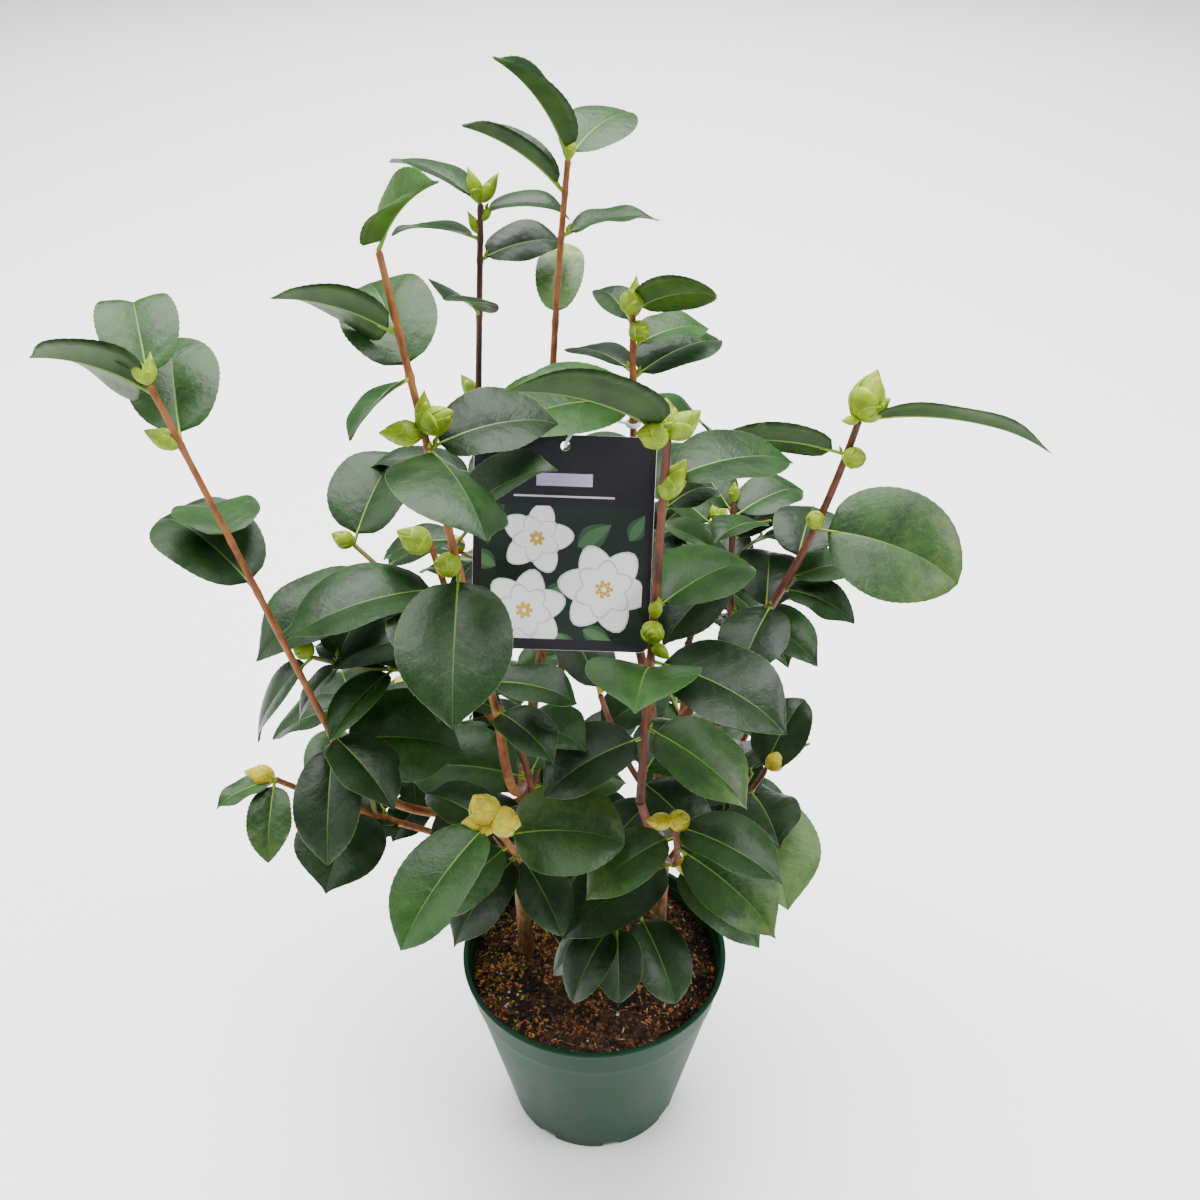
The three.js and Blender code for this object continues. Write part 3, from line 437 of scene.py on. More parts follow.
STREAM = {"times": 1664525, "plus": 1013904223, "span": 2**32}


def stream(start):
    """A repeatable stream of numbers from 0 to 1."""
    seed = start
    while True:
        seed = (seed * STREAM["times"] + STREAM["plus"]) % STREAM["span"]
        yield seed / STREAM["span"]


class Limb:
    """One tapering limb along a bowed line."""

    def __init__(self, start, spec, facets, thick=None, flare=False):
        self.start = np.array(start, float)
        self.end = np.array(spec["to"], float)
        self.bow = np.array(spec.get("bow", (0, 0, 0)), float)
        self.thick = spec.get("thick", thick)
        self.sides, self.steps = facets
        self.flare = flare
        self.length = np.linalg.norm(self.end - self.start)
        self.feet = []

    def point(self, share):
        share = np.asarray(share, float)[..., None]
        return self.start + share * (self.end - self.start) + 4 * share * (1 - share) * self.bow

    def way(self, share):
        share = np.asarray(share, float)[..., None]
        return unit(self.end - self.start + 4 * (1 - 2 * share) * self.bow)

    def radius(self, share):
        share = np.asarray(share, float)
        flare = FLARE["share"] * np.exp(-share * self.length / FLARE["height"]) if self.flare else 0
        return mix(*self.thick, share) * (1 + flare)


class Shape:
    """A plain closed surface through rings of points, which new leaves keep clear of."""

    def __init__(self, rings):
        rings = [np.atleast_2d(ring) for ring in rings]
        points = np.concatenate(rings)
        faces = []
        start = 0
        for ring, following in zip(rings, rings[1:]):
            after = start + len(ring)
            count = max(len(ring), len(following))
            for k in range(count):
                turn = (k + 1) % count
                if len(ring) > 1:
                    faces.append((start + k, start + turn, after + (turn if len(following) > 1 else 0)))
                if len(following) > 1:
                    faces.append((start + (k if len(ring) > 1 else 0), after + turn, after + k))
            start = after
        faces += [(0, k + 1, k) for k in range(1, len(rings[0]) - 1)]
        faces += [(start, start + k, start + k + 1) for k in range(1, len(rings[-1]) - 1)]
        edges = sorted({tuple(sorted(pair)) for a, b, c in faces for pair in ((a, b), (b, c), (c, a))})
        self.edges = points[np.array(edges)]
        self.corners = points[np.array(faces)]
        self.points = points
        self.low, self.high = points.min(0), points.max(0)


def crossing(edges, faces):
    """Whether any edge passes through any face."""
    one, two = faces[:, 1] - faces[:, 0], faces[:, 2] - faces[:, 0]
    normal = np.cross(one, two)
    way = edges[:, 1] - edges[:, 0]
    slope = way @ normal.T
    with np.errstate(divide="ignore", invalid="ignore"):
        share = ((faces[:, 0] * normal).sum(1) - edges[:, 0] @ normal.T) / slope
    line, face = np.nonzero((slope != 0) & (share >= 0) & (share <= 1))
    if not len(line):
        return False
    at = edges[line, 0] + share[line, face][:, None] * way[line] - faces[face, 0]
    across, along, square = one[face], two[face], (normal[face] ** 2).sum(1)
    first = (np.cross(at, along) * normal[face]).sum(1) / square
    second = (np.cross(across, at) * normal[face]).sum(1) / square
    return bool(np.any((first >= 0) & (second >= 0) & (first + second <= 1)))


class Room:
    """Everything that has been set in place so far."""

    def __init__(self):
        self.shapes, self.owners = [], []
        self.low, self.high = np.empty((0, 3)), np.empty((0, 3))

    def place(self, shape, owner=None):
        self.shapes.append(shape)
        self.owners.append(owner)
        self.low = np.vstack([self.low, shape.low])
        self.high = np.vstack([self.high, shape.high])

    def touches(self, shape, own):
        near = np.all((self.low <= shape.high) & (self.high >= shape.low), axis=1)
        others = [self.shapes[i] for i in np.flatnonzero(near) if self.owners[i] is not own]
        if not others:
            return False
        corners = np.concatenate([other.corners for other in others])
        edges = np.concatenate([other.edges for other in others])
        return crossing(shape.edges, corners) or crossing(edges, shape.corners)


STEEP = 0.8  # a limb that runs along X by more than this has its sides counted from Y


def limb_shape(limb):
    """A limb's coarse solid, with as many sides and steps as in the CAD."""
    reference = RIGHT if abs(limb.way(0.5)[0]) < STEEP else BACK
    shares = list(FLARE["rings"]) if limb.flare else [0]
    for i in range(1, limb.steps + 1):
        shares.append(max(i / limb.steps, shares[-1] + LEAST_RING_STEP))
    angles = circle(limb.sides)[:, None]
    rings = []
    for share in shares:
        way = limb.way(share)
        across = unit(np.cross(way, reference))
        along = np.cross(way, across)
        if share == 0 and limb.flare:
            across, along = RIGHT, BACK
        radius = limb.radius(share)
        rings.append(limb.point(share) + radius * (across * np.cos(angles) + along * np.sin(angles)))
    return Shape(rings)


class Leaf:
    """A leaf: its foot, and where and how far it reaches."""

    def __init__(self, foot, bearing, rise, length, roll=0, width=LEAF["width"]):
        self.foot, self.bearing, self.rise, self.length = foot, bearing, rise, length
        self.roll, self.width = roll, width

    def half_width(self, share):
        blade = np.clip((share - LEAF["petiole"]) / (1 - LEAF["petiole"]), 0, 1)
        sharp, sharper = LEAF["outline"]
        outline = np.sin(np.pi * blade**LEAF["belly_at"]).clip(0) ** (sharp + sharper * blade)
        return outline * self.length * self.width / 2 * LEAF["coarse_gain"]

    def line(self, share, twist=0.0, turn=0.0):
        """The midrib's points, and which ways are its left side and its upper side."""
        share = np.asarray(share, float)[..., None]
        bend = math.radians(LEAF["bend"])
        begin = math.radians(self.rise) + bend / 2
        slope = begin - bend * share
        arc = self.length * bend / 2 / math.sin(bend / 2)
        ahead, left = heading(math.radians(self.bearing)), left_of(math.radians(self.bearing))
        out = arc * (math.sin(begin) - np.sin(slope)) / bend
        up = arc * (np.cos(slope) - math.cos(begin)) / bend
        normal = np.cos(slope) * UP - np.sin(slope) * ahead
        roll = np.radians(self.roll + turn + twist * share)
        side = left * np.cos(roll) + normal * np.sin(roll)
        return self.foot + ahead * out + UP * up, side, normal * np.cos(roll) - left * np.sin(roll)

    def shape(self, first=0, extra=0):
        """Its coarse solid from one of its stations on, thicker all round by so much."""
        rings = []
        for share in LEAF["stations"][first:]:
            centre, side, normal = self.line(share)
            half = max(self.half_width(share), LEAF["petiole_radius"]) + extra
            blade = share > LEAF["petiole"]
            lift = LEAF["fold"] * half if blade else 0
            thick = (LEAF["blade_thick"] / 2 if blade else LEAF["petiole_radius"]) + extra
            ring = [(half, lift), (0, thick), (-half, lift), (0, -thick)]
            rings.append([centre + side * across + normal * over for across, over in ring])
        return Shape(rings + [self.line(1.0)[0]])


class Bud:
    """A bud: its foot, which way it points, its length and its fatness."""

    def __init__(self, foot, bearing, rise, length, fatness=BUD["fatness"]):
        self.foot, self.length, self.fatness = foot, length, fatness
        self.way = heading(math.radians(bearing), math.radians(rise))
        self.across = left_of(math.radians(bearing))
        self.along = np.cross(self.way, self.across)

    def shape(self):
        angles = circle(BUD["sides"])[:, None]
        rings = []
        for share, girth in zip(BUD["stations"], BUD["girth"]):
            centre = self.foot + self.way * share * self.length
            radius = girth * self.fatness * self.length
            ring = centre + radius * (self.across * np.cos(angles) + self.along * np.sin(angles))
            rings.append(ring if radius else centre)
        return Shape(rings)


def in_crown(points, middle):
    """Which points are near the middle of their shoot and within the crown's upright oval."""
    across, deep = ((points[:, axis] - CROWN["middle"][axis]) / CROWN["reach"][axis] for axis in (0, 1))
    return (np.linalg.norm(points - middle, axis=1) < FILL["reach"]) & (np.hypot(across, deep) < 1)


def card_points(points):
    """From the card's own frame (X across, Y up the card, Z out of its face) to the plant's."""
    x, y, z = np.moveaxis(np.asarray(points, float), -1, 0)
    x, y = turned(x, y, math.radians(CARD["turn"]))
    y, z = turned(y, z, math.pi / 2 - math.radians(CARD["lean"]))
    return np.stack([x, y, z], -1) + np.array(CARD["top"], float)


def smooth_line(points, count):
    """Points at even shares of a smooth line through the given ones."""
    points = np.asarray(points, float)
    padded = np.vstack([2 * points[0] - points[1], points, 2 * points[-1] - points[-2]])
    share = np.linspace(0, len(points) - 1, count)
    i = np.minimum(share.astype(int), len(points) - 2)
    t = (share - i)[:, None]
    a, b, c, d = (padded[i + k] for k in range(4))
    return 0.5 * (2 * b + (c - a) * t + (2 * a - 5 * b + 4 * c - d) * t**2 + (3 * b - a - 3 * c + d) * t**3)


def rings_along(points, radii, sides, reference=BACK):
    """Round sections across a line, as an array of rings."""
    points = np.asarray(points, float)
    way = unit(np.gradient(points, axis=0))
    across = np.empty_like(way)
    last = unit(np.cross(way[0], reference))
    for i, direction in enumerate(way):
        last = unit(last - direction * (last @ direction))
        across[i] = last
    along = np.cross(way, across)
    angles = circle(sides)[:, None]
    radii = np.asarray(radii, float)
    radii = np.broadcast_to(radii if radii.ndim == 2 else radii.reshape(-1, 1), (len(points), sides))
    around = across[:, None] * np.cos(angles) + along[:, None] * np.sin(angles)
    return points[:, None] + radii[..., None] * around


class Plant:
    """The grown plant: its limbs, leaves, buds and finer twigs, with the mass that each belongs to."""

    def __init__(self):
        self.limbs, self.leaves, self.buds, self.twigs = {}, [], [], []
        self.room = Room()

    def add_limbs(self):
        for name, spec in STEMS.items():
            self.limbs[name] = Limb(spec["from"], spec, FACETS["stem"], flare=True)
        for name, spec in BOUGHS.items():
            self.branch(name, self.limbs[spec["on"]], spec, "bough", BOUGH_THICK)
        for name, spec in MASSES.items():
            self.branch(name, self.limbs[spec["on"]], spec, "shoot", SHOOT_THICK)
            for i, twig in enumerate(spec.get("twigs", ())):
                self.branch(f"{name}_{i}", self.limbs[name], twig, "twig", TWIG_THICK)
        for limb in self.limbs.values():
            self.room.place(limb_shape(limb), limb)

    def branch(self, name, carrier, spec, kind, thick):
        at = spec.get("at", 1)
        carrier.feet.append(at)
        self.limbs[name] = Limb(carrier.point(at), spec, FACETS[kind], thick)

    def limbs_of(self, name):
        twigs = MASSES[name].get("twigs", ())
        return [(self.limbs[name], MASSES[name])] + [
            (self.limbs[f"{name}_{i}"], twig) for i, twig in enumerate(twigs)
        ]

    def set_leaf(self, name, limb, row, look=None, middle=None):
        """Sets a leaf on a limb where it fits, turned a little if need be, and tells whether it did."""
        at, bearing, rise, *rest = row
        foot = limb.point(at)
        for turn, lift in TURNS:
            leaf = Leaf(foot, bearing + turn, rise + lift, *rest)
            guard = leaf.shape(1, SKIN)
            inside = guard.points[:, 2].min() > LEAF_FLOOR
            if middle is not None:
                inside = inside and in_crown(guard.points, middle).all()
            if inside and not self.room.touches(guard, limb):
                self.room.place(leaf.shape())
                limb.feet.append(at)
                self.leaves.append((name, leaf, look or {}))
                return True
        return False

    def add_named(self):
        """The leaves and buds that each mass names."""
        for name in MASSES:
            for limb, rows in self.limbs_of(name):
                for at, *rest in rows.get("buds", ()):
                    bud = Bud(limb.point(at), *rest)
                    self.room.place(bud.shape(), limb)
                    self.buds.append((name, bud))
                for i, row in enumerate(rows.get("leaves", ())):
                    look = LOOKS.get(name, {}).get(i) if rows is MASSES[name] else None
                    self.set_leaf(name, limb, row, look)

    def filled(self, seed):
        """Each limb that is filled by rule, with its mass, its fill and the random numbers of that mass."""
        for i, name in enumerate(MASSES):
            random = stream(seed + FILL["seed_step"] * i)
            for limb, rows in self.limbs_of(name):
                if "fill" in rows:
                    yield name, limb, rows["fill"], random

    def add_fill(self):
        """The leaves that grow by rule between the named ones."""
        for name, limb, (start, end, count), random in self.filled(FILL["seed"]):
            begin = 360 * next(random)
            for i in range(count):
                row = [
                    mix(start, end, (i + 0.5) / count),
                    begin + FILL["turn"] * i + FILL["jitter"] * (next(random) - 0.5),
                    mix(*FILL["rise"], next(random)),
                    mix(*FILL["length"], next(random)),
                    FILL["roll"] * (next(random) - 0.5),
                ]
                self.set_leaf(name, limb, row, None, limb.point(0.5))

    def add_fine(self):
        """Finer twigs with a few small leaves, within the reach of the masses that grow by rule."""
        for name, limb, _, random in self.filled(FINE["seed"]):
            for k in range(FINE["per_limb"]):
                self.fine_twig(name, limb, k, random)

    def fine_twig(self, name, limb, k, random):
        at = mix(*FINE["stretch"], (k + next(random)) / FINE["per_limb"])
        bearing = math.radians(FILL["turn"] * k + 360 * next(random))
        rise = math.radians(mix(*FINE["rise"], next(random)))
        length = mix(*FINE["length"], next(random))
        foot = limb.point(at)
        twig = Limb(foot, {"to": foot + heading(bearing, rise) * length}, FACETS["twig"], FINE["thick"])
        shape = limb_shape(twig)
        if self.room.touches(shape, limb):
            return
        self.room.place(shape, twig)
        grown = []
        for i in range(FINE["leaves"]):
            row = [
                mix(0.5, 1, i / (FINE["leaves"] - 1)),
                math.degrees(bearing) + FILL["turn"] * (i + 1),
                mix(*FILL["rise"], next(random)),
                mix(*FINE["leaf_length"], next(random)),
            ]
            grown.append(self.set_leaf(name, twig, row, None, limb.point(0.5)))
        if any(grown):
            limb.feet.append(at)
            self.twigs.append((name, twig))


class Pile:
    """Closed shapes that become one mesh, with a finish for each face."""

    def __init__(self, name, finishes):
        self.name, self.finishes = name, finishes
        self.points, self.faces, self.skins, self.maps = [], [], [], []
        self.count = self.triangles = 0

    def lay(self, points, faces, finish, maps=None):
        """Lays one closed shape; finish is a name for all of it, or the number of one for each face."""
        points = np.asarray(points, float).reshape(-1, 3)
        faces = np.asarray(faces, int)
        corners = (points - points.mean(0))[faces]
        if (corners[:, 0] * np.cross(corners[:, 1], corners[:, 2])).sum() < 0:
            faces = faces[:, ::-1]  # every closed shape faces outwards
        self.points.append(points)
        self.faces.append(faces + self.count)
        if isinstance(finish, str):
            finish = self.finishes.index(finish)
        self.skins.append(np.broadcast_to(np.asarray(finish, int), len(faces)))
        self.maps.append(np.zeros((len(points), 2)) if maps is None else maps)
        self.count += len(points)
        self.triangles += len(faces)

    def make(self, slot, nodes, smooth=True):
        points, faces = np.concatenate(self.points) * MM, np.concatenate(self.faces)
        mesh = bpy.data.meshes.new(self.name)
        mesh.vertices.add(len(points))
        mesh.vertices.foreach_set("co", points.ravel())
        mesh.loops.add(faces.size)
        mesh.loops.foreach_set("vertex_index", faces.ravel())
        mesh.polygons.add(len(faces))
        mesh.polygons.foreach_set("loop_start", np.arange(0, faces.size, 3))
        mesh.polygons.foreach_set("material_index", np.concatenate(self.skins))
        mesh.polygons.foreach_set("use_smooth", np.full(len(faces), smooth))
        layer = mesh.uv_layers.new(name="along_and_across")
        layer.data.foreach_set("uv", np.concatenate(self.maps)[faces.ravel()].ravel())
        for finish in self.finishes:
            mesh.materials.append(finish_named(finish))
        mesh.update()
        piece = bpy.data.objects.new(self.name, mesh)
        bpy.context.scene.collection.objects.link(piece)
        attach(piece, "root")
        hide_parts(*nodes)


def grid_faces(grid, foot=None, tip=None):
    """Triangles over a grid of point numbers, drawn together to a point at its foot and at its tip."""
    a, b, c, d = grid[:-1, :-1], grid[:-1, 1:], grid[1:, :-1], grid[1:, 1:]
    faces = [np.stack([a, b, d, a, d, c], -1).reshape(-1, 3)]
    if foot is not None:
        faces.append(np.stack([np.full(len(grid[0]) - 1, foot), grid[0, 1:], grid[0, :-1]], -1))
    if tip is not None:
        faces.append(np.stack([np.full(len(grid[0]) - 1, tip), grid[-1, :-1], grid[-1, 1:]], -1))
    return np.vstack(faces)


def tube_faces(rows, columns, foot=None, tip=None):
    """Triangles round a tube, whose last row meets the first where no end point is given."""
    grid = np.arange(rows * columns).reshape(rows, columns)
    grid = np.hstack([grid, grid[:, :1]])
    return grid_faces(np.vstack([grid, grid[:1]]) if foot is None else grid, foot, tip)


def lay_tube(pile, rings, finish):
    """A closed tube through rings of points, with its ends closed by a point each."""
    rows, sides = rings.shape[:2]
    points = np.vstack([rings.reshape(-1, 3), rings[0].mean(0), rings[-1].mean(0)])
    pile.lay(points, tube_faces(rows, sides, rows * sides, rows * sides + 1), finish)


def two_skins(rows, wide, narrow):
    """Point numbers of a thin blade's two skins, of which the lower shares the upper one's margins."""
    index = np.arange(rows)[:, None]
    over = index * wide + np.arange(wide)
    inner = rows * wide + index * narrow + np.arange(narrow)
    return over, np.hstack([over[:, :1], inner, over[:, -1:]])


def rough(points, size, octaves=2):
    """Soft lumps of about that size in millimetres, from -1 to 1 or so."""
    return np.array([noise.fractal(Vector(p) / size, 1.0, 2.0, octaves) for p in points])


# Leaf blades: rows from foot to tip, and how far across the half blade each line of points runs.
# The outer line is the margin, and the inner ones stand beside the midrib. Then sizes in millimetres,
# the side veins, which lean forward by the slant, and where along the leaf its tip begins to droop.
BLADE = {
    "rows": 34,
    "upper": [0.72, 0.44, 0.2],
    "lower": [0.6],
    "margin": 0.4,
    "margin_share": 0.14,
    "rib": (0.5, 0.14),
    "rib_share": 0.12,
    "least_half": 0.25,
    "thick": 0.5,
    "rib_thick": 0.5,
    "teeth": 0.17,
    "full_teeth_at": 6,
    "groove": 0.3,
    "groove_width": 0.9,
    "veins": 8,
    "vein_slant": 1.7,
    "pucker": 0.16,
    "curl_from": 0.72,
    "tip_drop": 1.15,
    "sharp": 0.42,
}
STALK = {"rings": 6, "sides": 8, "reach": 0.17, "sink": (0.1, 0.7), "radius": (1.25, 0.75)}

# How leaves differ, as ranges: how far each half folds up and the twist in degrees, the droop of the tip
# and how drawn out it is, how hollow each half is, and the waves of its margin in millimetres and number
VARIED = {
    "left": (2, 15),
    "right": (2, 15),
    "twist": (-12, 12),
    "curl": (0.2, 0.9),
    "point": (0.45, 1.1),
    "belly": (0.03, 0.09),
    "wave": (0.2, 1.3),
    "waves": (1.2, 2.4),
    "left_wave": (0, 1),
    "right_wave": (0, 1),
}
# The usual underside's finish is painted darker with shade
USUAL = {"belly_at": LEAF["belly_at"], "turn": 0, "wide": 1, "under": "leaf_underside"}
LEAF_PARTS = ["leaf_margin", "leaf_midrib", "leaf_underside_rib", "green_leaf_stalk", "leaf_underside",
              "young_leaf_underside"]
LEAF_TINTS = ["waxy_leaf_deep", "waxy_leaf_dark", "waxy_leaf_green_painted_lit", "waxy_leaf_olive", "waxy_leaf_young_painted_glow",
              "waxy_leaf_bloomed", "waxy_leaf_side_bloomed", "waxy_leaf_mottled"]
# Shares of the tints dealt out at random; the paler green among them is painted light
TINT_SHARES = {
    "waxy_leaf_deep": 0.34,
    "waxy_leaf_dark": 0.4,
    "waxy_leaf_green_painted_lit": 0.22,
    "waxy_leaf_bloomed": 0.04,
}


def blade_heights(across, share, half, form):
    """How far each point of a blade stands above the flat half that it lies on."""
    size = np.abs(across)
    side = np.where(across > 0, form["left_wave"], form["right_wave"])
    belly = form["belly"] * half * np.sin(np.pi * size)
    wave = form["wave"] * size**2 * np.sin(2 * np.pi * (form["waves"] * share + side))
    groove = -BLADE["groove"] * np.exp(-((size * half / BLADE["groove_width"]) ** 2))
    vein = BLADE["veins"] * share - BLADE["vein_slant"] * size + 0.5 * (across > 0)
    pucker = -BLADE["pucker"] * np.cos(2 * np.pi * vein) * np.sin(np.pi * size)
    return belly + wave + groove + pucker


def lay_leaf(pile, leaf, look, random):
    """A fine leaf: its blade with serrated margin, midrib and veins, and its stalk."""
    rows = BLADE["rows"] - 1
    blade = np.arange(1, rows + 1) / BLADE["rows"]
    share = mix(LEAF["petiole"], 1, blade)
    form = {key: random.uniform(*span) for key, span in VARIED.items()} | USUAL | look
    centre, side, normal = leaf.line(share, form["twist"], form["turn"])
    outline = np.sin(np.pi * blade**form["belly_at"]) ** (BLADE["sharp"] + form["point"] * blade**4)
    half = form["wide"] * leaf.length * leaf.width / 2 * outline + BLADE["least_half"]
    tip_curl = np.clip(share - BLADE["curl_from"], 0, 1) ** 2 * leaf.length * form["curl"]
    centre = centre - UP * tip_curl[:, None]
    teeth = np.where(np.arange(1, rows + 1) % 2, 1, -1) * np.minimum(half / BLADE["full_teeth_at"], 1)
    tooth = BLADE["teeth"] * teeth
    rib = np.minimum(mix(*BLADE["rib"], blade) / half, BLADE["rib_share"])
    inner = 1 - np.minimum(BLADE["margin"] / half, BLADE["margin_share"])

    def columns(steps, margin=()):
        lines = [*margin, *(np.full(rows, step) for step in steps), rib]
        return np.stack([*lines, np.zeros(rows), *[-line for line in reversed(lines)]], 1)

    upper = columns(BLADE["upper"], [np.ones(rows), inner])
    lower = columns(BLADE["lower"])

    def points_of(across, drop):
        """Points of one skin: each half turns about the midrib, and its relief stands on it."""
        turn = np.radians(np.where(across > 0, form["left"], form["right"])) * (across != 0)
        reach = across * half[:, None]
        reach = reach + np.where(np.abs(across) == 1, np.sign(across) * tooth[:, None], 0)
        height = blade_heights(across, share[:, None], half[:, None], form) - drop
        wide = reach * np.cos(turn) - np.sign(across) * np.sin(turn) * height
        high = np.abs(reach) * np.sin(turn) + np.cos(turn) * height
        return centre[:, None] + side[:, None] * wide[..., None] + normal[:, None] * high[..., None]

    drop = BLADE["thick"] + np.where(lower == 0, BLADE["rib_thick"] * (1.1 - blade[:, None]), 0)
    foot = leaf.line(LEAF["petiole"] - 0.01)[0]
    tip = leaf.line(1.0)[0] - UP * tip_curl[-1] * BLADE["tip_drop"]
    points = np.vstack([points_of(upper, 0).reshape(-1, 3), points_of(lower, drop).reshape(-1, 3), foot, tip])
    start, end = len(points) - 2, len(points) - 1

    faces, finish = [], []
    top, under = form["skin"], form["under"]
    names = ((top, "leaf_margin", "leaf_midrib"), (under, under, "leaf_underside_rib"))
    for grid, way, parts in zip(two_skins(rows, upper.shape[1], lower.shape[1]), (1, -1), names):
        faces.append(grid_faces(grid, start, end)[:, ::way])
        skin, margin, midrib = (pile.finishes.index(part) for part in parts)
        strips = np.full(grid.shape[1] - 1, skin)
        strips[[0, -1]] = margin
        middle = len(strips) // 2
        strips[[middle - 1, middle]] = midrib
        finish += [np.tile(np.repeat(strips, 2), rows - 1), strips, strips]
    maps = [np.stack(np.broadcast_arrays(blade[:, None], (across + 1) / 2), -1) for across in (upper, lower)]
    maps = np.vstack([*(part.reshape(-1, 2) for part in maps), (0, 0.5), (1, 0.5)])
    pile.lay(points, np.vstack(faces), np.concatenate(finish), maps)

    count = STALK["rings"]
    line, _, up = leaf.line(np.linspace(0, STALK["reach"], count))
    line = line - up * np.linspace(*STALK["sink"], count)[:, None]
    stalk = rings_along(line, np.linspace(*STALK["radius"], count), STALK["sides"])
    lay_tube(pile, stalk, "green_leaf_stalk")


# Bud scales overlap like roof tiles; each has a pale papery edge. A slim bud is a leaf bud.
BUD_CORE = {"rings": 12, "sides": 12, "reach": 0.97, "girth": 0.93, "least": 0.05}
SCALES = {
    "flower": 7,
    "leaf": 5,
    "rows": 9,
    "spread": [1, 0.93, 0.5, 0],
    "turn": 137.5,
    "reach": (0.42, 1.0),
    "crowding": 0.8,
    "half_angle": (62, 84),
    "rounding": 2.4,
    "lift": (0.012, 0.04),
    "thick": 0.3,
    "least": 0.02,
    "bronzed_from": 0.9,
}
SLIM_BELOW = 0.24
# How a bud swells and narrows: where it's fattest, how sharp its ends are, and how much its tip is drawn in
GIRTH = {"slim": (0.72, 1.05, 0.3), "fat": (0.8, 0.74, 0.45)}
BUD_PARTS = ["bud_scale", "bud_scale_edge", "bud_scale_tip", "yellow_bud_scale"]


def bud_girth(share, slim):
    """A bud's radius along it, to its widest."""
    power, sharp, point = GIRTH["slim" if slim else "fat"]
    share = np.clip(share, 0, 1)
    return np.sin(np.pi * share**power).clip(0) ** sharp * (1 - point * share**4)


def lay_bud(pile, bud, random, finish):
    """A bud's core, and its scales from the lowest to the one at its tip."""
    slim = bud.fatness < SLIM_BELOW
    widest = bud.fatness * bud.length
    count = SCALES["leaf"] if slim else SCALES["flower"]
    begin = random.uniform(0, 360)

    def surface(share, angle, radius):
        share, angle, radius = (part[..., None] for part in np.broadcast_arrays(share, angle, radius))
        around = bud.across * np.cos(angle) + bud.along * np.sin(angle)
        return bud.foot + bud.way * share * bud.length + around * radius

    share = np.linspace(0, BUD_CORE["reach"], BUD_CORE["rings"])[:, None]
    radius = widest * BUD_CORE["girth"] * bud_girth(share, slim) + BUD_CORE["least"]
    lay_tube(pile, surface(share, circle(BUD_CORE["sides"]), radius), finish)

    rows = SCALES["rows"]
    across = np.array(SCALES["spread"] + [-s for s in reversed(SCALES["spread"][:-1])])
    wide = len(across)
    over, under = two_skins(rows, wide, wide - 2)
    end = rows * (2 * wide - 2)
    # The foot of a scale, between its two skins
    foot = grid_faces(np.stack([over[0], under[0]]))[:, ::-1]
    foot = foot[[len(set(face)) == 3 for face in foot]]
    faces = np.vstack([grid_faces(over, tip=end), grid_faces(under, tip=end)[:, ::-1], foot])
    skin, edge, tip_skin = (pile.finishes.index(name) for name in (finish, "bud_scale_edge", "bud_scale_tip"))
    strips = np.full(wide - 1, skin)
    strips[[0, -1]] = edge
    for k in range(count):
        reach = mix(*SCALES["reach"], (k / (count - 1)) ** SCALES["crowding"])
        middle = math.radians(begin + SCALES["turn"] * k)
        lift = SCALES["lift"][0] * widest * (count - k) + SCALES["lift"][1]
        share = reach * np.arange(rows + 1)[:, None] / rows
        taper = np.sqrt(np.maximum(1 - (share / reach) ** SCALES["rounding"], 0))
        half_angle = math.radians(mix(*SCALES["half_angle"], (count - k) / count))
        angle = middle + (half_angle * taper * across)[:-1]
        girth = widest * bud_girth(share, slim)
        share = share[:-1]
        radius = girth[:-1] + lift * (share / reach) ** 0.5 - 0.5 * lift * (np.abs(across) == 1)
        low = np.maximum(radius[:, 1:-1] - SCALES["thick"] - lift, SCALES["least"])
        points = np.vstack([
            surface(share, angle, radius).reshape(-1, 3),
            surface(share, angle[:, 1:-1], low).reshape(-1, 3),
            surface(reach, middle, girth[-1, 0] + 0.5 * lift),
        ])
        cap = np.full(wide - 1, tip_skin if reach > SCALES["bronzed_from"] else edge)
        upper = np.concatenate([np.tile(np.repeat(strips, 2), rows - 1), cap])
        pile.lay(points, faces, np.concatenate([upper, np.full(len(faces) - len(upper), skin)]))


# Bark relief: lumps of these sizes in millimetres, drawn out along the limb, and how deep they are;
# then the swelling at the foot of each leaf or side shoot, and how far that reaches along the limb
BARK = {
    "stem": {"sides": 28, "step": 1.8, "size": 1.9, "depth": 0.42, "node": 0.4, "reach": 3.2},
    "bough": {"sides": 18, "step": 2.0, "size": 1.5, "depth": 0.2, "node": 0.35, "reach": 2.8},
    "shoot": {"sides": 14, "step": 2.0, "size": 1.3, "depth": 0.1, "node": 0.3, "reach": 2.0},
    "twig": {"sides": 9, "step": 2.6, "size": 1.2, "depth": 0.08, "node": 0.25, "reach": 1.6},
}
DRAWN_OUT = 5
LEAST_RINGS = 8
DOME = {"height": 1.3, "steps": np.array([0.7, 0.42, 0.2, 0.06, 0]), "closes": 0.98}
SUNK = 6  # how far a stem goes on below the top of the soil


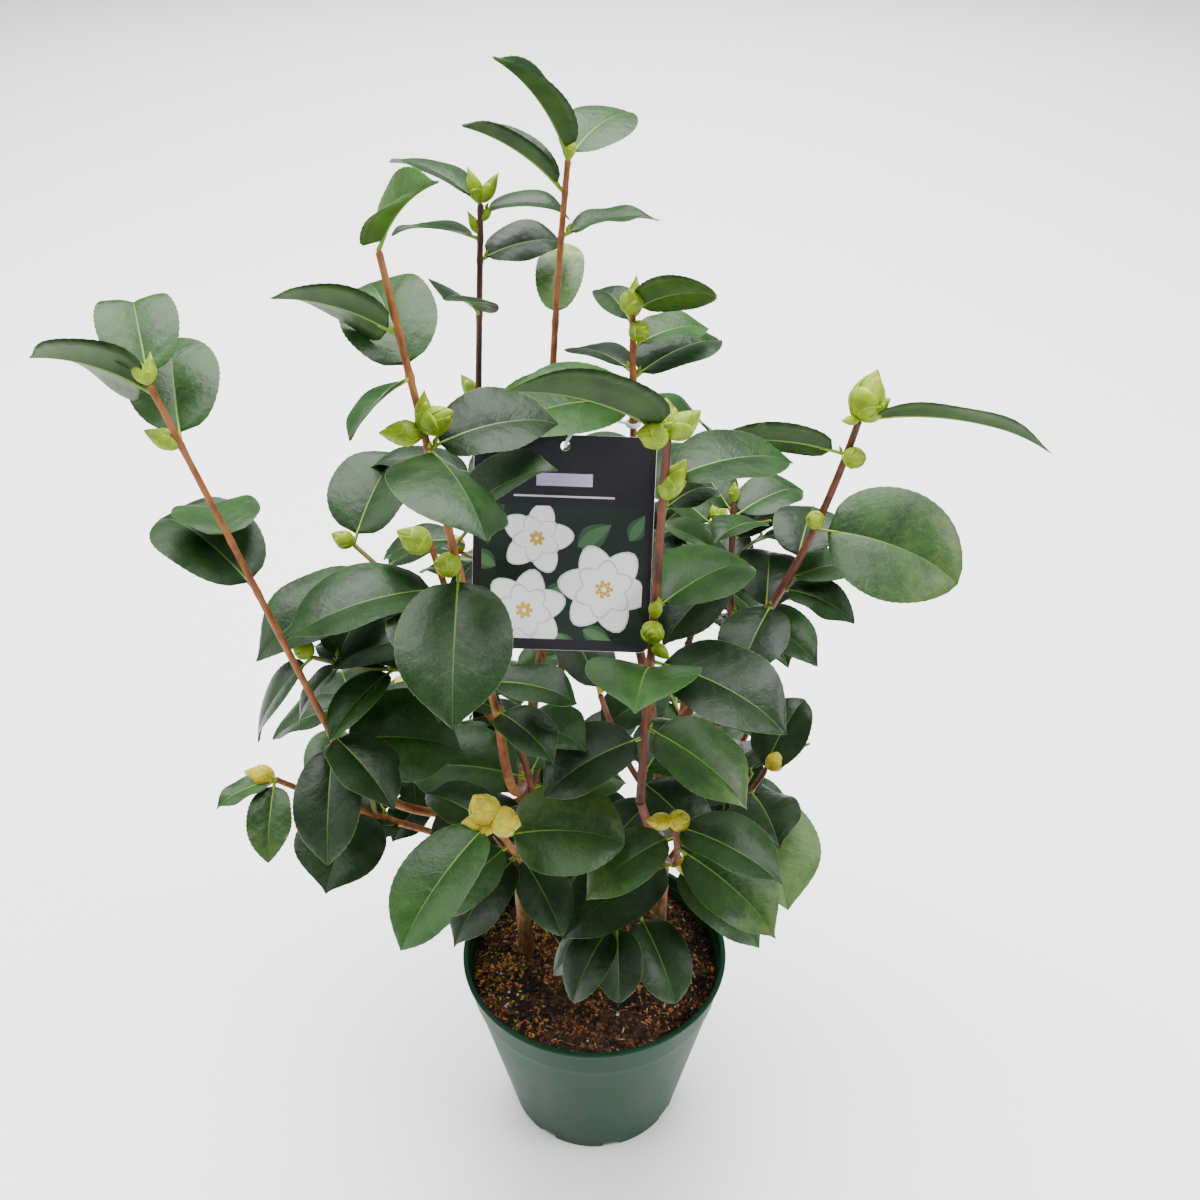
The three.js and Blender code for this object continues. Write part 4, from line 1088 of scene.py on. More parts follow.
def lay_limb(pile, limb, kind, finish, sunk=0.0):
    """A limb with its bark's relief and a swelling at each foot; shoots and twigs end in a dome."""
    look = BARK[kind]
    count = max(int((limb.length + sunk) / look["step"]), LEAST_RINGS)
    dome = DOME["height"] * float(limb.radius(1)) if kind in ("shoot", "twig") else 0
    along = np.linspace(-sunk, limb.length - dome, count)
    if dome:
        along = np.append(along, limb.length - dome * DOME["steps"])
    share = along / limb.length
    radius = limb.radius(share)
    for foot in limb.feet:
        radius = radius + look["node"] * np.exp(-(((along - foot * limb.length) / look["reach"]) ** 2))
    if dome:
        radius = radius * np.sqrt(1 - DOME["closes"] * np.clip(1 - (limb.length - along) / dome, 0, 1) ** 2)
    lumps = polar(radius[:, None], circle(look["sides"]), along[:, None] / DRAWN_OUT) + limb.start
    relief = rough(lumps.reshape(-1, 3), look["size"]).reshape(len(along), -1) * look["depth"]
    lay_tube(pile, rings_along(limb.point(share), radius[:, None] + relief, look["sides"]), finish)


# The tiny buds in the crooks of leaf stalks: how many leaves have one, and where it sits and points
CROOK = {
    "share": 0.6,
    "out": 2.6,
    "up": 1.6,
    "rise": 62,
    "length": (4, 6.5),
    "fatness": 0.22,
    "least_girth": 0.04,
    "facets": 6,
}


def lay_crook_buds(pile, plant):
    """A tiny pointed bud in the crook of each leaf stalk that has one."""
    random = np.random.default_rng(11)
    for _, leaf, _ in plant.leaves:
        if random.uniform() < CROOK["share"]:
            out = heading(math.radians(leaf.bearing)) * CROOK["out"] + UP * CROOK["up"]
            length = random.uniform(*CROOK["length"])
            bud = Bud(leaf.foot + out, leaf.bearing, CROOK["rise"], length, CROOK["fatness"])
            share = np.linspace(0, 1, CROOK["facets"])
            radius = bud.fatness * bud.length * np.maximum(bud_girth(share, True), CROOK["least_girth"])
            line = bud.foot + bud.way * (share * bud.length)[:, None]
            lay_tube(pile, rings_along(line, radius, CROOK["facets"], bud.across), "bud_scale")


def pot_profile():
    """The pot's section: up its outside, over the lip, and down the inside to the floor."""
    base, shoulder, wall, high = POT["base_radius"], POT["shoulder_radius"], POT["wall"], POT["height"]
    shoulder_z, lip_foot = POT["shoulder_height"], high - POT["lip_height"]
    band, band_z = shoulder + POT["band_step"], shoulder_z + POT["band_rise"]
    rim, under_lip = POT["rim_radius"], lip_foot - 0.4
    outside = [(mix(base, shoulder, t), mix(0.9, shoulder_z - 0.5, t)) for t in np.linspace(0.02, 1, 24)]
    step = [(mix(shoulder, band, t), mix(shoulder_z, band_z, t) - 0.2 * math.sin(math.pi * t))
            for t in (0.25, 0.6, 0.9, 1)]
    upper = [(mix(band, rim, t), mix(band_z, under_lip, t)) for t in np.linspace(0.12, 1, 8)]
    lip = [(POT["lip_radius"] + out, high + up) for out, up in LIP_SECTION]
    return outside + step + upper + lip + [(band - wall, shoulder_z + 1), (base - wall, POT["floor"])]


def make_pot():
    """The nursery pot, a lathed shell whose foot ring has eight shallow notches."""
    angles = circle(POT["columns"])
    middles = 2 * math.pi * (np.arange(POT["notches"]) + 0.25) / POT["notches"]
    turn = np.abs((angles[:, None] - middles[None] + math.pi) % (2 * math.pi) - math.pi).min(1)
    edge = POT["notch_width"] / 2 - turn * POT["base_radius"]
    lifted = POT["notch_height"] * np.clip(edge / POT["notch_slope"], 0, 1)
    base, inner = POT["base_radius"], POT["base_radius"] - POT["notch_depth"]
    foot = [(inner - POT["foot_ring"], 0), (inner, 0), (inner + 0.3, lifted), (base - 0.5, lifted),
            (base + 0.05, lifted + 0.6)]
    rings = [polar(radius, angles, z) for radius, z in foot]
    for i, (radius, z) in enumerate(pot_profile()):
        # The wall's lowest rings stay above the notches, each a little over the last
        rings.append(polar(radius, angles, np.maximum(z, lifted + 0.7 + 0.1 * i) if radius >= base else z))
    pile = Pile("nursery_pot", ["moulded_polypropylene"])
    lay_tube(pile, np.array(rings), "moulded_polypropylene")
    pile.make("pot_plastic", ["pot"])


# The dip is where the peat has sunk along the front right wall: from that radius out, and over that reach
SOIL = {
    "radius": 88.6,
    "rings": 62,
    "columns": 168,
    "depth": 14,
    "taper": 0.985,
    "dip": 2.4,
    "dip_from": 74,
    "dip_reach": 80,
}
# Lumps of the peat: their size, their octaves, their height, and where in the noise they lie
SOIL_LUMPS = [(17, 1, 1.9, 0), (5.5, 2, 1.25, 40), (1.9, 1, 0.55, 90)]
# What lies on the peat: how many, where, the range of lengths, and width and thickness to the length
CHIPS = [
    ("milled_bark_chip", 1500, "everywhere", (1.4, 5.0), 0.5, 0.4),
    ("orange_bark_chip", 1300, "warm", (1.2, 4.4), 0.5, 0.4),
    ("dark_peat_crumb", 1500, "everywhere", (1.2, 3.8), 0.85, 0.7),
    ("dry_straw", 130, "everywhere", (1.8, 6.5), 0.16, 0.14),
    ("expanded_perlite", 40, "everywhere", (1.2, 2.4), 0.9, 0.85),
    ("green_algae", 1300, "left", (0.9, 2.1), 0.9, 0.7),
]
# How chips differ, as ranges to their usual width and thickness, how much narrower their ends are, how
# rough they are, how far they lean in radians, and how far they stand out
CHIP_FORM = {
    "wide": (0.6, 1.4),
    "thick": (0.7, 1.3),
    "pointed": 0.5,
    "rough": 0.08,
    "lean": 0.6,
    "stand": 0.22,
}
FIBRES = {
    "count": 260,
    "length": (4, 11),
    "radius": (0.16, 0.34),
    "bend": 0.3,
    "lift": 0.35,
    "arch": 1.2,
    "rings": 6,
    "sides": 4,
    "kinds": {"orange_bark_chip": 0.45, "milled_bark_chip": 0.35, "dry_straw": 0.2},
}


def soil_height(points):
    """The uneven top of the peat, a little lower along the front right wall."""
    flat = np.column_stack([points[:, :2], np.full(len(points), 7.0)])
    lumps = sum(rough(flat + shift, size, octaves) * high for size, octaves, high, shift in SOIL_LUMPS)
    edge = np.clip((np.hypot(points[:, 0], points[:, 1]) - SOIL["dip_from"]) / SOIL["depth"], 0, 1)
    front_right = np.clip((points[:, 0] * 0.5 - points[:, 1] * 0.85) / SOIL["dip_reach"], 0, 1)
    return SOIL_TOP + lumps - SOIL["dip"] * edge * front_right


def chip_region(place, points):
    """Which points are in a region: all of them, the patches with more bark, or the algae at the left."""
    if place == "warm":
        return rough(points - 7, 22, 1) > -0.05
    if place == "left":
        return rough(points + 13, 15, 1) - (points[:, 0] + 46) / 50 > 0.1
    return np.ones(len(points), bool)


def keep_within(points, radius):
    """Moves points that lie beyond a radius straight back to it."""
    points[:, :2] *= np.minimum(1, radius / np.hypot(points[:, 0], points[:, 1]))[:, None]


def make_soil():
    """Peat with bark chips, crumbs, fibres, perlite and a bloom of green algae at its left."""
    random = np.random.default_rng(5)
    pile = Pile("potting_soil", ["loose_peat", *(row[0] for row in CHIPS)])
    rings = []
    for radius in np.sqrt(np.linspace(0.0004, 1, SOIL["rings"])) * SOIL["radius"]:
        ring = polar(radius, circle(SOIL["columns"]))
        ring[:, 2] = soil_height(ring)
        rings.append(ring)
    low = polar(SOIL["radius"] * SOIL["taper"], circle(SOIL["columns"]), SOIL_TOP - SOIL["depth"])
    lay_tube(pile, np.array([*rings, low]), "loose_peat")

    def scatter(count, place):
        radius = SOIL["radius"] * np.sqrt(random.uniform(0, 0.97, count))
        points = polar(radius, random.uniform(0, 2 * math.pi, count))
        points = points[chip_region(place, points)]
        points[:, 2] = soil_height(points)
        return points

    cube = np.array([(x, y, z) for x in (-1, 1) for y in (-1, 1) for z in (-1, 1)], float) / 2
    faces = np.array([(0, 1, 3), (0, 3, 2), (4, 6, 7), (4, 7, 5), (0, 4, 5), (0, 5, 1),
                      (2, 3, 7), (2, 7, 6), (0, 2, 6), (0, 6, 4), (1, 5, 7), (1, 7, 3)])
    for finish, count, place, length, wide, thick in CHIPS:
        for point in scatter(count, place):
            size = random.uniform(*length)
            across = wide * random.uniform(*CHIP_FORM["wide"])
            high = thick * random.uniform(*CHIP_FORM["thick"])
            chip = cube * (size, size * across, size * high)
            chip = chip * (1 - CHIP_FORM["pointed"] * np.abs(chip[:, :1]) / size)
            chip = chip + random.uniform(-CHIP_FORM["rough"], CHIP_FORM["rough"], chip.shape) * size
            turn = random.uniform(0, 2 * math.pi)
            tip, lean = random.uniform(-CHIP_FORM["lean"], CHIP_FORM["lean"], 2)
            x, y, z = chip.T
            x, z = turned(x, z, tip)
            y, z = turned(y, z, lean)
            x, y = turned(x, y, turn)
            stand = CHIP_FORM["stand"] * size * random.uniform(0.2, 1)
            chip = np.stack([x, y, z], -1) + point + UP * stand
            keep_within(chip, SOIL["radius"])
            pile.lay(chip, faces, finish)
    for point in scatter(FIBRES["count"], "everywhere"):
        bearing, length = random.uniform(0, 2 * math.pi), random.uniform(*FIBRES["length"])
        bend = left_of(bearing) * random.uniform(-FIBRES["bend"], FIBRES["bend"])
        t = np.linspace(-0.5, 0.5, FIBRES["rings"])[:, None]
        line = point + heading(bearing) * t * length + bend * length * (0.25 - t**2) * 2
        keep_within(line, SOIL["radius"] - 1)
        arch = FIBRES["arch"] * random.uniform() * (0.25 - t[:, 0] ** 2)
        line[:, 2] = soil_height(line) + FIBRES["lift"] + arch
        finish = str(random.choice(list(FIBRES["kinds"]), p=list(FIBRES["kinds"].values())))
        lay_tube(pile, rings_along(line, random.uniform(*FIBRES["radius"]), FIBRES["sides"], UP), finish)
    pile.make("potting_soil", ["soil"], smooth=False)


# The card's print, in its own frame: middles of the white flowers with their radius, petals and first turn,
# and the feet of leaves with their length and turn; its ground is (top, half width, low edge)
PRINT = {
    "ground": (-38, 44, -112),
    "flowers": [(-20, -96, 22, 6, 0.3), (23, -83, 24, 6, 0.9), (-14, -56, 19, 5, 0.1)],
    "leaves": [(-2, -108, 20, -60), (8, -60, 22, 35), (-36, -72, 18, 150), (36, -56, 17, 60),
               (4, -84, 16, 190), (-34, -44, 15, 110), (12, -106, 17, -20)],
    "bar": (15, 3.4, -24),
    "rule": (27, 0.5, -33),
    "ink": 0.045,
    "margin": 0.3,
    "stamens": 14,
}
# A flower's petals in layers from the back: their reach to the flower's radius, and their ink
PETALS = [(1, "printed_petal_shade"), (0.95, "printed_petal"), (0.66, "printed_petal_shade"),
          (0.6, "printed_petal")]
CARD_FINISHES = ["coated_card", "cut_card_edge", "printed_night_green", "printed_leaf", "printed_leaf_light",
                 "printed_petal", "printed_petal_shade", "printed_stamen", "printed_lilac", "printed_rule"]
BEVEL = 0.22


def lay_plate(pile, outline, low, high, finish):
    """A thin flat plate on the card, whose outline can be seen whole from its middle."""
    rings = [np.column_stack([outline, np.full(len(outline), z)]) for z in (low, high)]
    lay_tube(pile, card_points(rings), finish)


def box(half, low, high):
    """The corners of a rectangle that is even about the card's middle line."""
    return [(-half, low), (half, low), (half, high), (-half, high)]


def card_blank(pile, thick):
    """The card itself: rounded lower corners, a punched hole and cut edges."""
    side, low, corner = CARD["width"] / 2, CARD["corner"] - CARD["height"], CARD["corner"]
    arc = np.radians(np.linspace(0, 90, 9))
    right = np.column_stack([side - corner + corner * np.cos(arc), low - corner * np.sin(arc)])
    right = np.vstack([np.column_stack([np.full(20, side), np.linspace(-4, low - 3, 20)]), right])
    top = np.column_stack([np.linspace(-side, side, 24), np.zeros(24)])
    outline = np.vstack([top, right, (right * (-1, 1))[::-1]])
    middle = np.array([0, -CARD_HOLE["down"]])
    angle = np.arctan2(*(outline - middle).T[::-1])
    outline, angle = outline[np.argsort(angle)], np.sort(angle)
    hole = middle + CARD_HOLE["radius"] * np.column_stack([np.cos(angle), np.sin(angle)])
    inset = middle + (outline - middle) * (1 - BEVEL / np.linalg.norm(outline - middle, axis=1))[:, None]
    layers = [(hole, thick), (inset, thick), (outline, thick - BEVEL), (outline, BEVEL - thick),
              (inset, -thick), (hole, -thick)]
    rings = card_points([np.column_stack([ring, np.full(len(ring), z)]) for ring, z in layers])
    pile.lay(rings, tube_faces(*rings.shape[:2]), np.repeat([0, 1, 1, 1, 0, 0], 2 * len(outline)))


def make_card():
    """The hanging label: a coated card with a hole, a plain bar and a pattern of white flowers."""
    pile = Pile("plant_label", CARD_FINISHES)
    thick = CARD["thick"] / 2
    card_blank(pile, thick)
    level, ink, margin = thick + 0.01, PRINT["ink"], PRINT["margin"]
    top, wide, low = PRINT["ground"]
    lay_plate(pile, box(wide, low, top), thick - 0.05, level, "printed_night_green")

    def print_shape(x, y, out, across, turn, coats, finish):
        """Prints an outline turned about its foot, within the ground, so many coats of ink high."""
        placed = np.column_stack(turned(out, across, turn)) + (x, y)
        placed = np.clip(placed, (margin - wide, low + margin), (wide - margin, top - margin))
        lay_plate(pile, placed, thick, level + ink * coats, finish)

    for x, y, length, turn in PRINT["leaves"]:
        t = np.linspace(0, 1, 12)
        half = 0.3 * length * np.sin(np.pi * t**0.8)
        out, across = np.append(t, t[-2:0:-1]) * length, np.append(half, -half[-2:0:-1])
        print_shape(x, y, out, across, math.radians(turn), 0.4, "printed_leaf")
        print_shape(x, y, out, across * 0.55, math.radians(turn), 0.8, "printed_leaf_light")
    for x, y, radius, petals, begin in PRINT["flowers"]:
        t = circle(22)
        across = 0.36 * np.sin(t) * (1 - 0.3 * np.cos(t))
        out = 0.5 * (1 - np.cos(t)) * (1 - 0.07 * np.cos(3 * t) * (np.cos(t) < 0))
        for layer, (size, finish) in enumerate(PETALS):
            for p in range(petals):
                around = begin + 2 * math.pi * (p + 0.5 * (layer > 1)) / petals
                coats = 0.9 + 0.5 * layer + 0.04 * p
                print_shape(x, y, radius * size * out, radius * size * across, around, coats, finish)
        for spot, angle in enumerate(circle(PRINT["stamens"])):
            centre = np.array([x, y]) + polar(radius * (0.1 if spot % 2 else 0.17), angle)[:2]
            lay_plate(pile, centre + polar(1.1, circle(8))[:, :2], thick, level + ink * 4.2, "printed_stamen")
    for name, finish in (("bar", "printed_lilac"), ("rule", "printed_rule")):
        half, tall, down = PRINT[name]
        lay_plate(pile, box(half, down - tall, down + tall), thick - 0.05, level, finish)
    pile.make("label_card", ["label_card"], smooth=False)


def tie_places(plant):
    """The middle of the tie's ring, the way of its shoot there, its radius, and the route of the loop."""
    limb = plant.limbs[TIE["on"]]
    centre, way = limb.point(TIE["at"]), limb.way(TIE["at"])
    radius = limb.radius(TIE["at"]) + TIE["ring_wire"] + TIE["ring_gap"]
    return centre, way, radius, np.vstack([centre - RIGHT * radius, card_points(TIE["route"])])


def make_tie(plant):
    """The soft white tie: a ring round a shoot, and a loop from it through the card's hole."""
    centre, way, radius, route = tie_places(plant)
    across = unit(np.cross(way, BACK))
    along = np.cross(way, across)
    around, section = circle(48)[:, None], circle(12)
    out = across * np.cos(around) + along * np.sin(around)
    wire = TIE["ring_wire"] * np.stack([np.cos(section), 1.25 * np.sin(section)], -1)
    rings = centre + out[:, None] * (radius + wire[None, :, :1]) + way * wire[None, :, 1:]
    pile = Pile("label_tie_loop", ["white_polyethylene"])
    pile.lay(rings, tube_faces(*rings.shape[:2]), "white_polyethylene")
    lay_tube(pile, rings_along(smooth_line(route, 72), TIE["wire"], 12, UP), "white_polyethylene")
    pile.make("label_tie", ["label_tie"])


def card_shape():
    """The card, coarse, for new leaves to keep clear of."""
    side, height, thick = CARD["width"] / 2, CARD["height"], CARD["thick"] / 2
    outline = np.array([(side, 0), (-side, 0), (-side, -height), (side, -height)])
    return Shape([card_points(np.column_stack([outline, np.full(4, z)])) for z in (-thick, thick)])


def tie_shapes(plant):
    """The tie's ring and loop, coarse, for new leaves to keep clear of."""
    centre, way, radius, route = tie_places(plant)
    way = way * TIE["ring_wire"]
    collar = rings_along([centre - way, centre, centre + way], radius + TIE["ring_wire"], 8)
    loop = rings_along(smooth_line(route, 17), TIE["wire"], 6, UP)
    return [Shape(collar), Shape(loop)]


def linear(colour):
    """An sRGB hex colour as linear values."""
    parts = [int(colour[i : i + 2], 16) / 255 for i in (1, 3, 5)]
    return (*(c / 12.92 if c <= 0.04045 else ((c + 0.055) / 1.055) ** 2.4 for c in parts), 1.0)


def per(size):
    """The scale that gives a pattern of that size in millimetres."""
    return 1 / (size * MM)


def connect(tree, node, inputs):
    """Gives a node its inputs: links from other nodes' first outputs or from sockets, colours, or values."""
    for key, value in inputs.items():
        if isinstance(value, bpy.types.Node):
            value = value.outputs[0]
        if isinstance(value, bpy.types.NodeSocket):
            tree.links.new(value, node.inputs[key])
        else:
            node.inputs[key].default_value = linear(value) if isinstance(value, str) else value


def add(tree, kind, inputs, ramp=(), **settings):
    """Adds a node with its settings, its inputs, and the colours and places of its ramp."""
    node = tree.nodes.new("ShaderNode" + kind)
    for name, value in settings.items():
        setattr(node, name, value)
    for (place, colour), stop in zip(ramp, node.color_ramp.elements if ramp else ()):
        stop.position, stop.color = place, linear(colour)
    connect(tree, node, inputs)
    return node


# How strongly a surface bends light: leaf wax and flesh, bark, polypropylene, and the card's film
WAX_IOR, BARK_IOR, PLASTIC_IOR, FILM_IOR = 1.42, 1.45, 1.49, 1.5


def waxy_blade(tree, skin, dark, light, vein, bloom=0.0, side="Y", bloom_colour="#8f9a5c"):
    """Cured wax over a leathery blade: a soft broad shine, clouded greens, side veins and a fine net."""
    place = add(tree, "TexCoord", {})
    solid = place.outputs["Object"]
    along = add(tree, "SeparateXYZ", {0: place.outputs["UV"]})
    off = add(tree, "Math", {0: along.outputs["Y"], 1: 0.5}, operation="SUBTRACT")
    across = add(tree, "Math", {0: off}, operation="ABSOLUTE")
    across = add(tree, "Math", {0: across, 1: 2.0}, operation="MULTIPLY")
    left = add(tree, "Math", {0: off, 1: 0.0}, operation="GREATER_THAN")
    wander = add(tree, "TexNoise", {"Vector": solid, "Scale": per(8), "Detail": 2.0})
    # The same run of side veins as the pads of the mesh, a little unsteady
    phase = BLADE["veins"] * LEAF["petiole"]
    for part, times in ((along, BLADE["veins"] * (1 - LEAF["petiole"])), (across, -BLADE["vein_slant"]),
                        (left, 0.5), (wander, 0.9)):
        phase = add(tree, "Math", {0: part, 1: times, 2: phase}, operation="MULTIPLY_ADD")
    wave = add(tree, "Math", {0: phase, 1: 2 * math.pi}, operation="MULTIPLY")
    wave = add(tree, "Math", {0: wave}, operation="COSINE")
    wave = add(tree, "Math", {0: wave, 1: 0.5, 2: 0.5}, operation="MULTIPLY_ADD")
    line = add(tree, "Math", {0: wave, 1: 40.0}, operation="POWER")
    fade = add(tree, "Math", {0: across, 1: -0.24, 2: 0.24}, operation="MULTIPLY_ADD")
    line = add(tree, "Math", {0: line, 1: fade}, operation="MULTIPLY")
    # Two greens in clouds, and a net of the finest veins, which is drawn at twice its real size to show
    cloud = add(tree, "TexNoise", {"Vector": solid, "Scale": per(19), "Detail": 3.0})
    net = add(tree, "TexVoronoi", {"Vector": solid, "Scale": per(2.2)}, feature="DISTANCE_TO_EDGE")
    net = add(tree, "MapRange", {0: net, 1: 0.0, 2: 0.16, 3: 0.12, 4: 0.0})
    colour = add(tree, "ValToRGB", {0: cloud}, ramp=[(0.34, dark), (0.68, light)])
    if bloom:
        # A dull yellowish bloom in broken patches towards the tip, or over one side
        patch = add(tree, "TexNoise", {"Vector": solid, "Scale": per(9), "Detail": 6.0, "Roughness": 0.7})
        toward = add(tree, "MapRange", {0: along.outputs[side], 1: 0.45, 2: 0.9, 3: -0.16, 4: 0.14})
        patch = add(tree, "Math", {0: patch, 1: toward}, operation="ADD")
        spots = add(tree, "MapRange", {0: patch, 1: 0.42, 2: 0.72, 3: 0.0, 4: bloom})
        colour = add(tree, "Mix", {"Factor": spots, 6: colour, 7: bloom_colour}, data_type="RGBA").outputs[2]
    veins = add(tree, "Math", {0: line, 1: net}, operation="MAXIMUM")
    colour = add(tree, "Mix", {"Factor": veins, 6: colour, 7: vein}, data_type="RGBA").outputs[2]
    # Sunk side veins, a raised net, and a soft pucker that breaks up the shine
    height = add(tree, "Math", {0: line, 1: -1.6, 2: net}, operation="MULTIPLY_ADD")
    pucker = add(tree, "TexNoise", {"Vector": solid, "Scale": per(5), "Detail": 2.0})
    height = add(tree, "Math", {0: pucker, 1: 2.4, 2: height}, operation="MULTIPLY_ADD")
    bump = add(tree, "Bump", {"Strength": 0.75, "Distance": 0.25 * MM, "Height": height})
    shine = add(tree, "MapRange", {0: cloud, 1: 0.3, 2: 0.7, 3: 0.38, 4: 0.5})
    connect(tree, skin, {"Base Color": colour, "Normal": bump, "Roughness": shine, "IOR": WAX_IOR})


def leaf_rib(tree, skin, foot, tip, shine):
    """A fleshy midrib: pale where it leaves the stalk, and nearly as dark as the blade at the tip."""
    place = add(tree, "TexCoord", {})
    along = add(tree, "SeparateXYZ", {0: place.outputs["UV"]})
    colour = add(tree, "ValToRGB", {0: along}, ramp=[(0.0, foot), (0.85, tip)])
    grain = add(tree, "TexNoise", {"Vector": place.outputs["Object"], "Scale": per(0.9), "Detail": 2.0})
    bump = add(tree, "Bump", {"Strength": 0.3, "Distance": 0.1 * MM, "Height": grain})
    connect(tree, skin, {"Base Color": colour, "Normal": bump, "Roughness": shine, "IOR": WAX_IOR})


def living_skin(tree, skin, dark, light, size, shine, speck=None):
    """Smooth living tissue: one clouded colour, a little shine, and specks where it has them."""
    solid = add(tree, "TexCoord", {}).outputs["Object"]
    cloud = add(tree, "TexNoise", {"Vector": solid, "Scale": per(size), "Detail": 4.0})
    colour = add(tree, "ValToRGB", {0: cloud}, ramp=[(0.3, dark), (0.72, light)])
    if speck:
        fine = add(tree, "TexNoise", {"Vector": solid, "Scale": per(1.4), "Detail": 3.0})
        spots = add(tree, "MapRange", {0: fine, 1: 0.6, 2: 0.68, 3: 0.0, 4: 0.8})
        colour = add(tree, "Mix", {"Factor": spots, 6: colour, 7: speck}, data_type="RGBA").outputs[2]
    grain = add(tree, "TexNoise", {"Vector": solid, "Scale": per(0.7), "Detail": 2.0})
    bump = add(tree, "Bump", {"Strength": 0.35, "Distance": 0.12 * MM, "Height": grain})
    connect(tree, skin, {"Base Color": colour, "Normal": bump, "Roughness": shine, "IOR": WAX_IOR})


def grown_bark(tree, skin, dark, light, pale, size, depth, shine, pores=0.0):
    """Bark drawn out along the stem: long fissures between paler plates, and pale pores on young wood."""
    solid = add(tree, "TexCoord", {}).outputs["Object"]
    drawn = add(tree, "Mapping", {"Vector": solid, "Scale": (1.0, 1.0, 0.22)})
    plates = add(tree, "TexNoise", {"Vector": drawn, "Scale": per(size), "Detail": 6.0, "Roughness": 0.62})
    colour = add(tree, "ValToRGB", {0: plates}, ramp=[(0.36, dark), (0.62, light)])
    cloud = add(tree, "TexNoise", {"Vector": solid, "Scale": per(14), "Detail": 3.0})
    patch = add(tree, "MapRange", {0: cloud, 1: 0.5, 2: 0.68, 3: 0.0, 4: 0.55})
    colour = add(tree, "Mix", {"Factor": patch, 6: colour, 7: pale}, data_type="RGBA").outputs[2]
    if pores:
        dots = add(tree, "TexVoronoi", {"Vector": solid, "Scale": per(2.6)})
        dots = add(tree, "MapRange", {0: dots, 1: 0.12, 2: 0.2, 3: pores, 4: 0.0})
        colour = add(tree, "Mix", {"Factor": dots, 6: colour, 7: pale}, data_type="RGBA").outputs[2]
    bump = add(tree, "Bump", {"Strength": 0.8, "Distance": depth * MM, "Height": plates})
    connect(tree, skin, {"Base Color": colour, "Normal": bump, "Roughness": shine, "IOR": BARK_IOR})


def moulded_plastic(tree, skin, dark, light, soil):
    """Green polypropylene from a satin mould: a fine grain, cloudy shine, and soil splashed on its foot."""
    solid = add(tree, "TexCoord", {}).outputs["Object"]
    drawn = add(tree, "Mapping", {"Vector": solid, "Scale": (1.0, 1.0, 0.3)})
    rubs = add(tree, "TexNoise", {"Vector": drawn, "Scale": per(22), "Detail": 6.0, "Roughness": 0.6})
    colour = add(tree, "ValToRGB", {0: rubs}, ramp=[(0.35, dark), (0.72, light)])
    height = add(tree, "SeparateXYZ", {0: solid}).outputs["Z"]
    low = add(tree, "MapRange", {0: height, 1: 0.03, 2: 0.0, 3: 0.0, 4: 0.5})
    fine = add(tree, "TexNoise", {"Vector": solid, "Scale": per(3.2), "Detail": 7.0, "Roughness": 0.72})
    splash = add(tree, "MapRange", {0: fine, 1: 0.56, 2: 0.72, 3: 0.0, 4: 1.0})
    dirt = add(tree, "Math", {0: splash, 1: low}, operation="MULTIPLY")
    colour = add(tree, "Mix", {"Factor": dirt, 6: colour, 7: soil}, data_type="RGBA").outputs[2]
    grain = add(tree, "TexNoise", {"Vector": solid, "Scale": per(0.9), "Detail": 3.0})
    bump = add(tree, "Bump", {"Strength": 0.3, "Distance": 0.1 * MM, "Height": grain})
    shine = add(tree, "MapRange", {0: rubs, 1: 0.3, 2: 0.7, 3: 0.44, 4: 0.58})
    # Aged and dusty, so it mirrors less than its roughness alone would tell
    connect(tree, skin, {"Base Color": colour, "Normal": bump, "Roughness": shine, "IOR": PLASTIC_IOR,
                         "Specular IOR Level": 0.25})


def crumbled(tree, skin, dark, light, size, shine, depth, damp=None):
    """Crumbs: two tones, matt, with a coarse broken grain, and dark damp patches where it has them."""
    solid = add(tree, "TexCoord", {}).outputs["Object"]
    grit = add(tree, "TexNoise", {"Vector": solid, "Scale": per(size), "Detail": 8.0, "Roughness": 0.7})
    colour = add(tree, "ValToRGB", {0: grit}, ramp=[(0.34, dark), (0.68, light)])
    if damp:
        wet = add(tree, "TexNoise", {"Vector": solid, "Scale": per(24), "Detail": 4.0})
        share = add(tree, "MapRange", {0: wet, 1: 0.47, 2: 0.58, 3: 0.0, 4: 0.85})
        colour = add(tree, "Mix", {"Factor": share, 6: colour, 7: damp}, data_type="RGBA").outputs[2]
    bump = add(tree, "Bump", {"Strength": 0.9, "Distance": depth * MM, "Height": grit})
    connect(tree, skin, {"Base Color": colour, "Normal": bump, "Roughness": shine})


def coated_print(tree, skin, dark, light, shine=0.24):
    """Ink under a gloss film: an even, slightly clouded colour with clear reflections."""
    solid = add(tree, "TexCoord", {}).outputs["Object"]
    cloud = add(tree, "TexNoise", {"Vector": solid, "Scale": per(30), "Detail": 3.0})
    colour = add(tree, "ValToRGB", {0: cloud}, ramp=[(0.3, dark), (0.7, light)])
    film = add(tree, "TexNoise", {"Vector": solid, "Scale": per(26), "Detail": 1.0})
    bump = add(tree, "Bump", {"Strength": 0.25, "Distance": 0.6 * MM, "Height": film})
    connect(tree, skin, {"Base Color": colour, "Normal": bump, "Roughness": shine, "IOR": FILM_IOR,
                         "Coat Weight": 0.5, "Coat Roughness": 0.08})


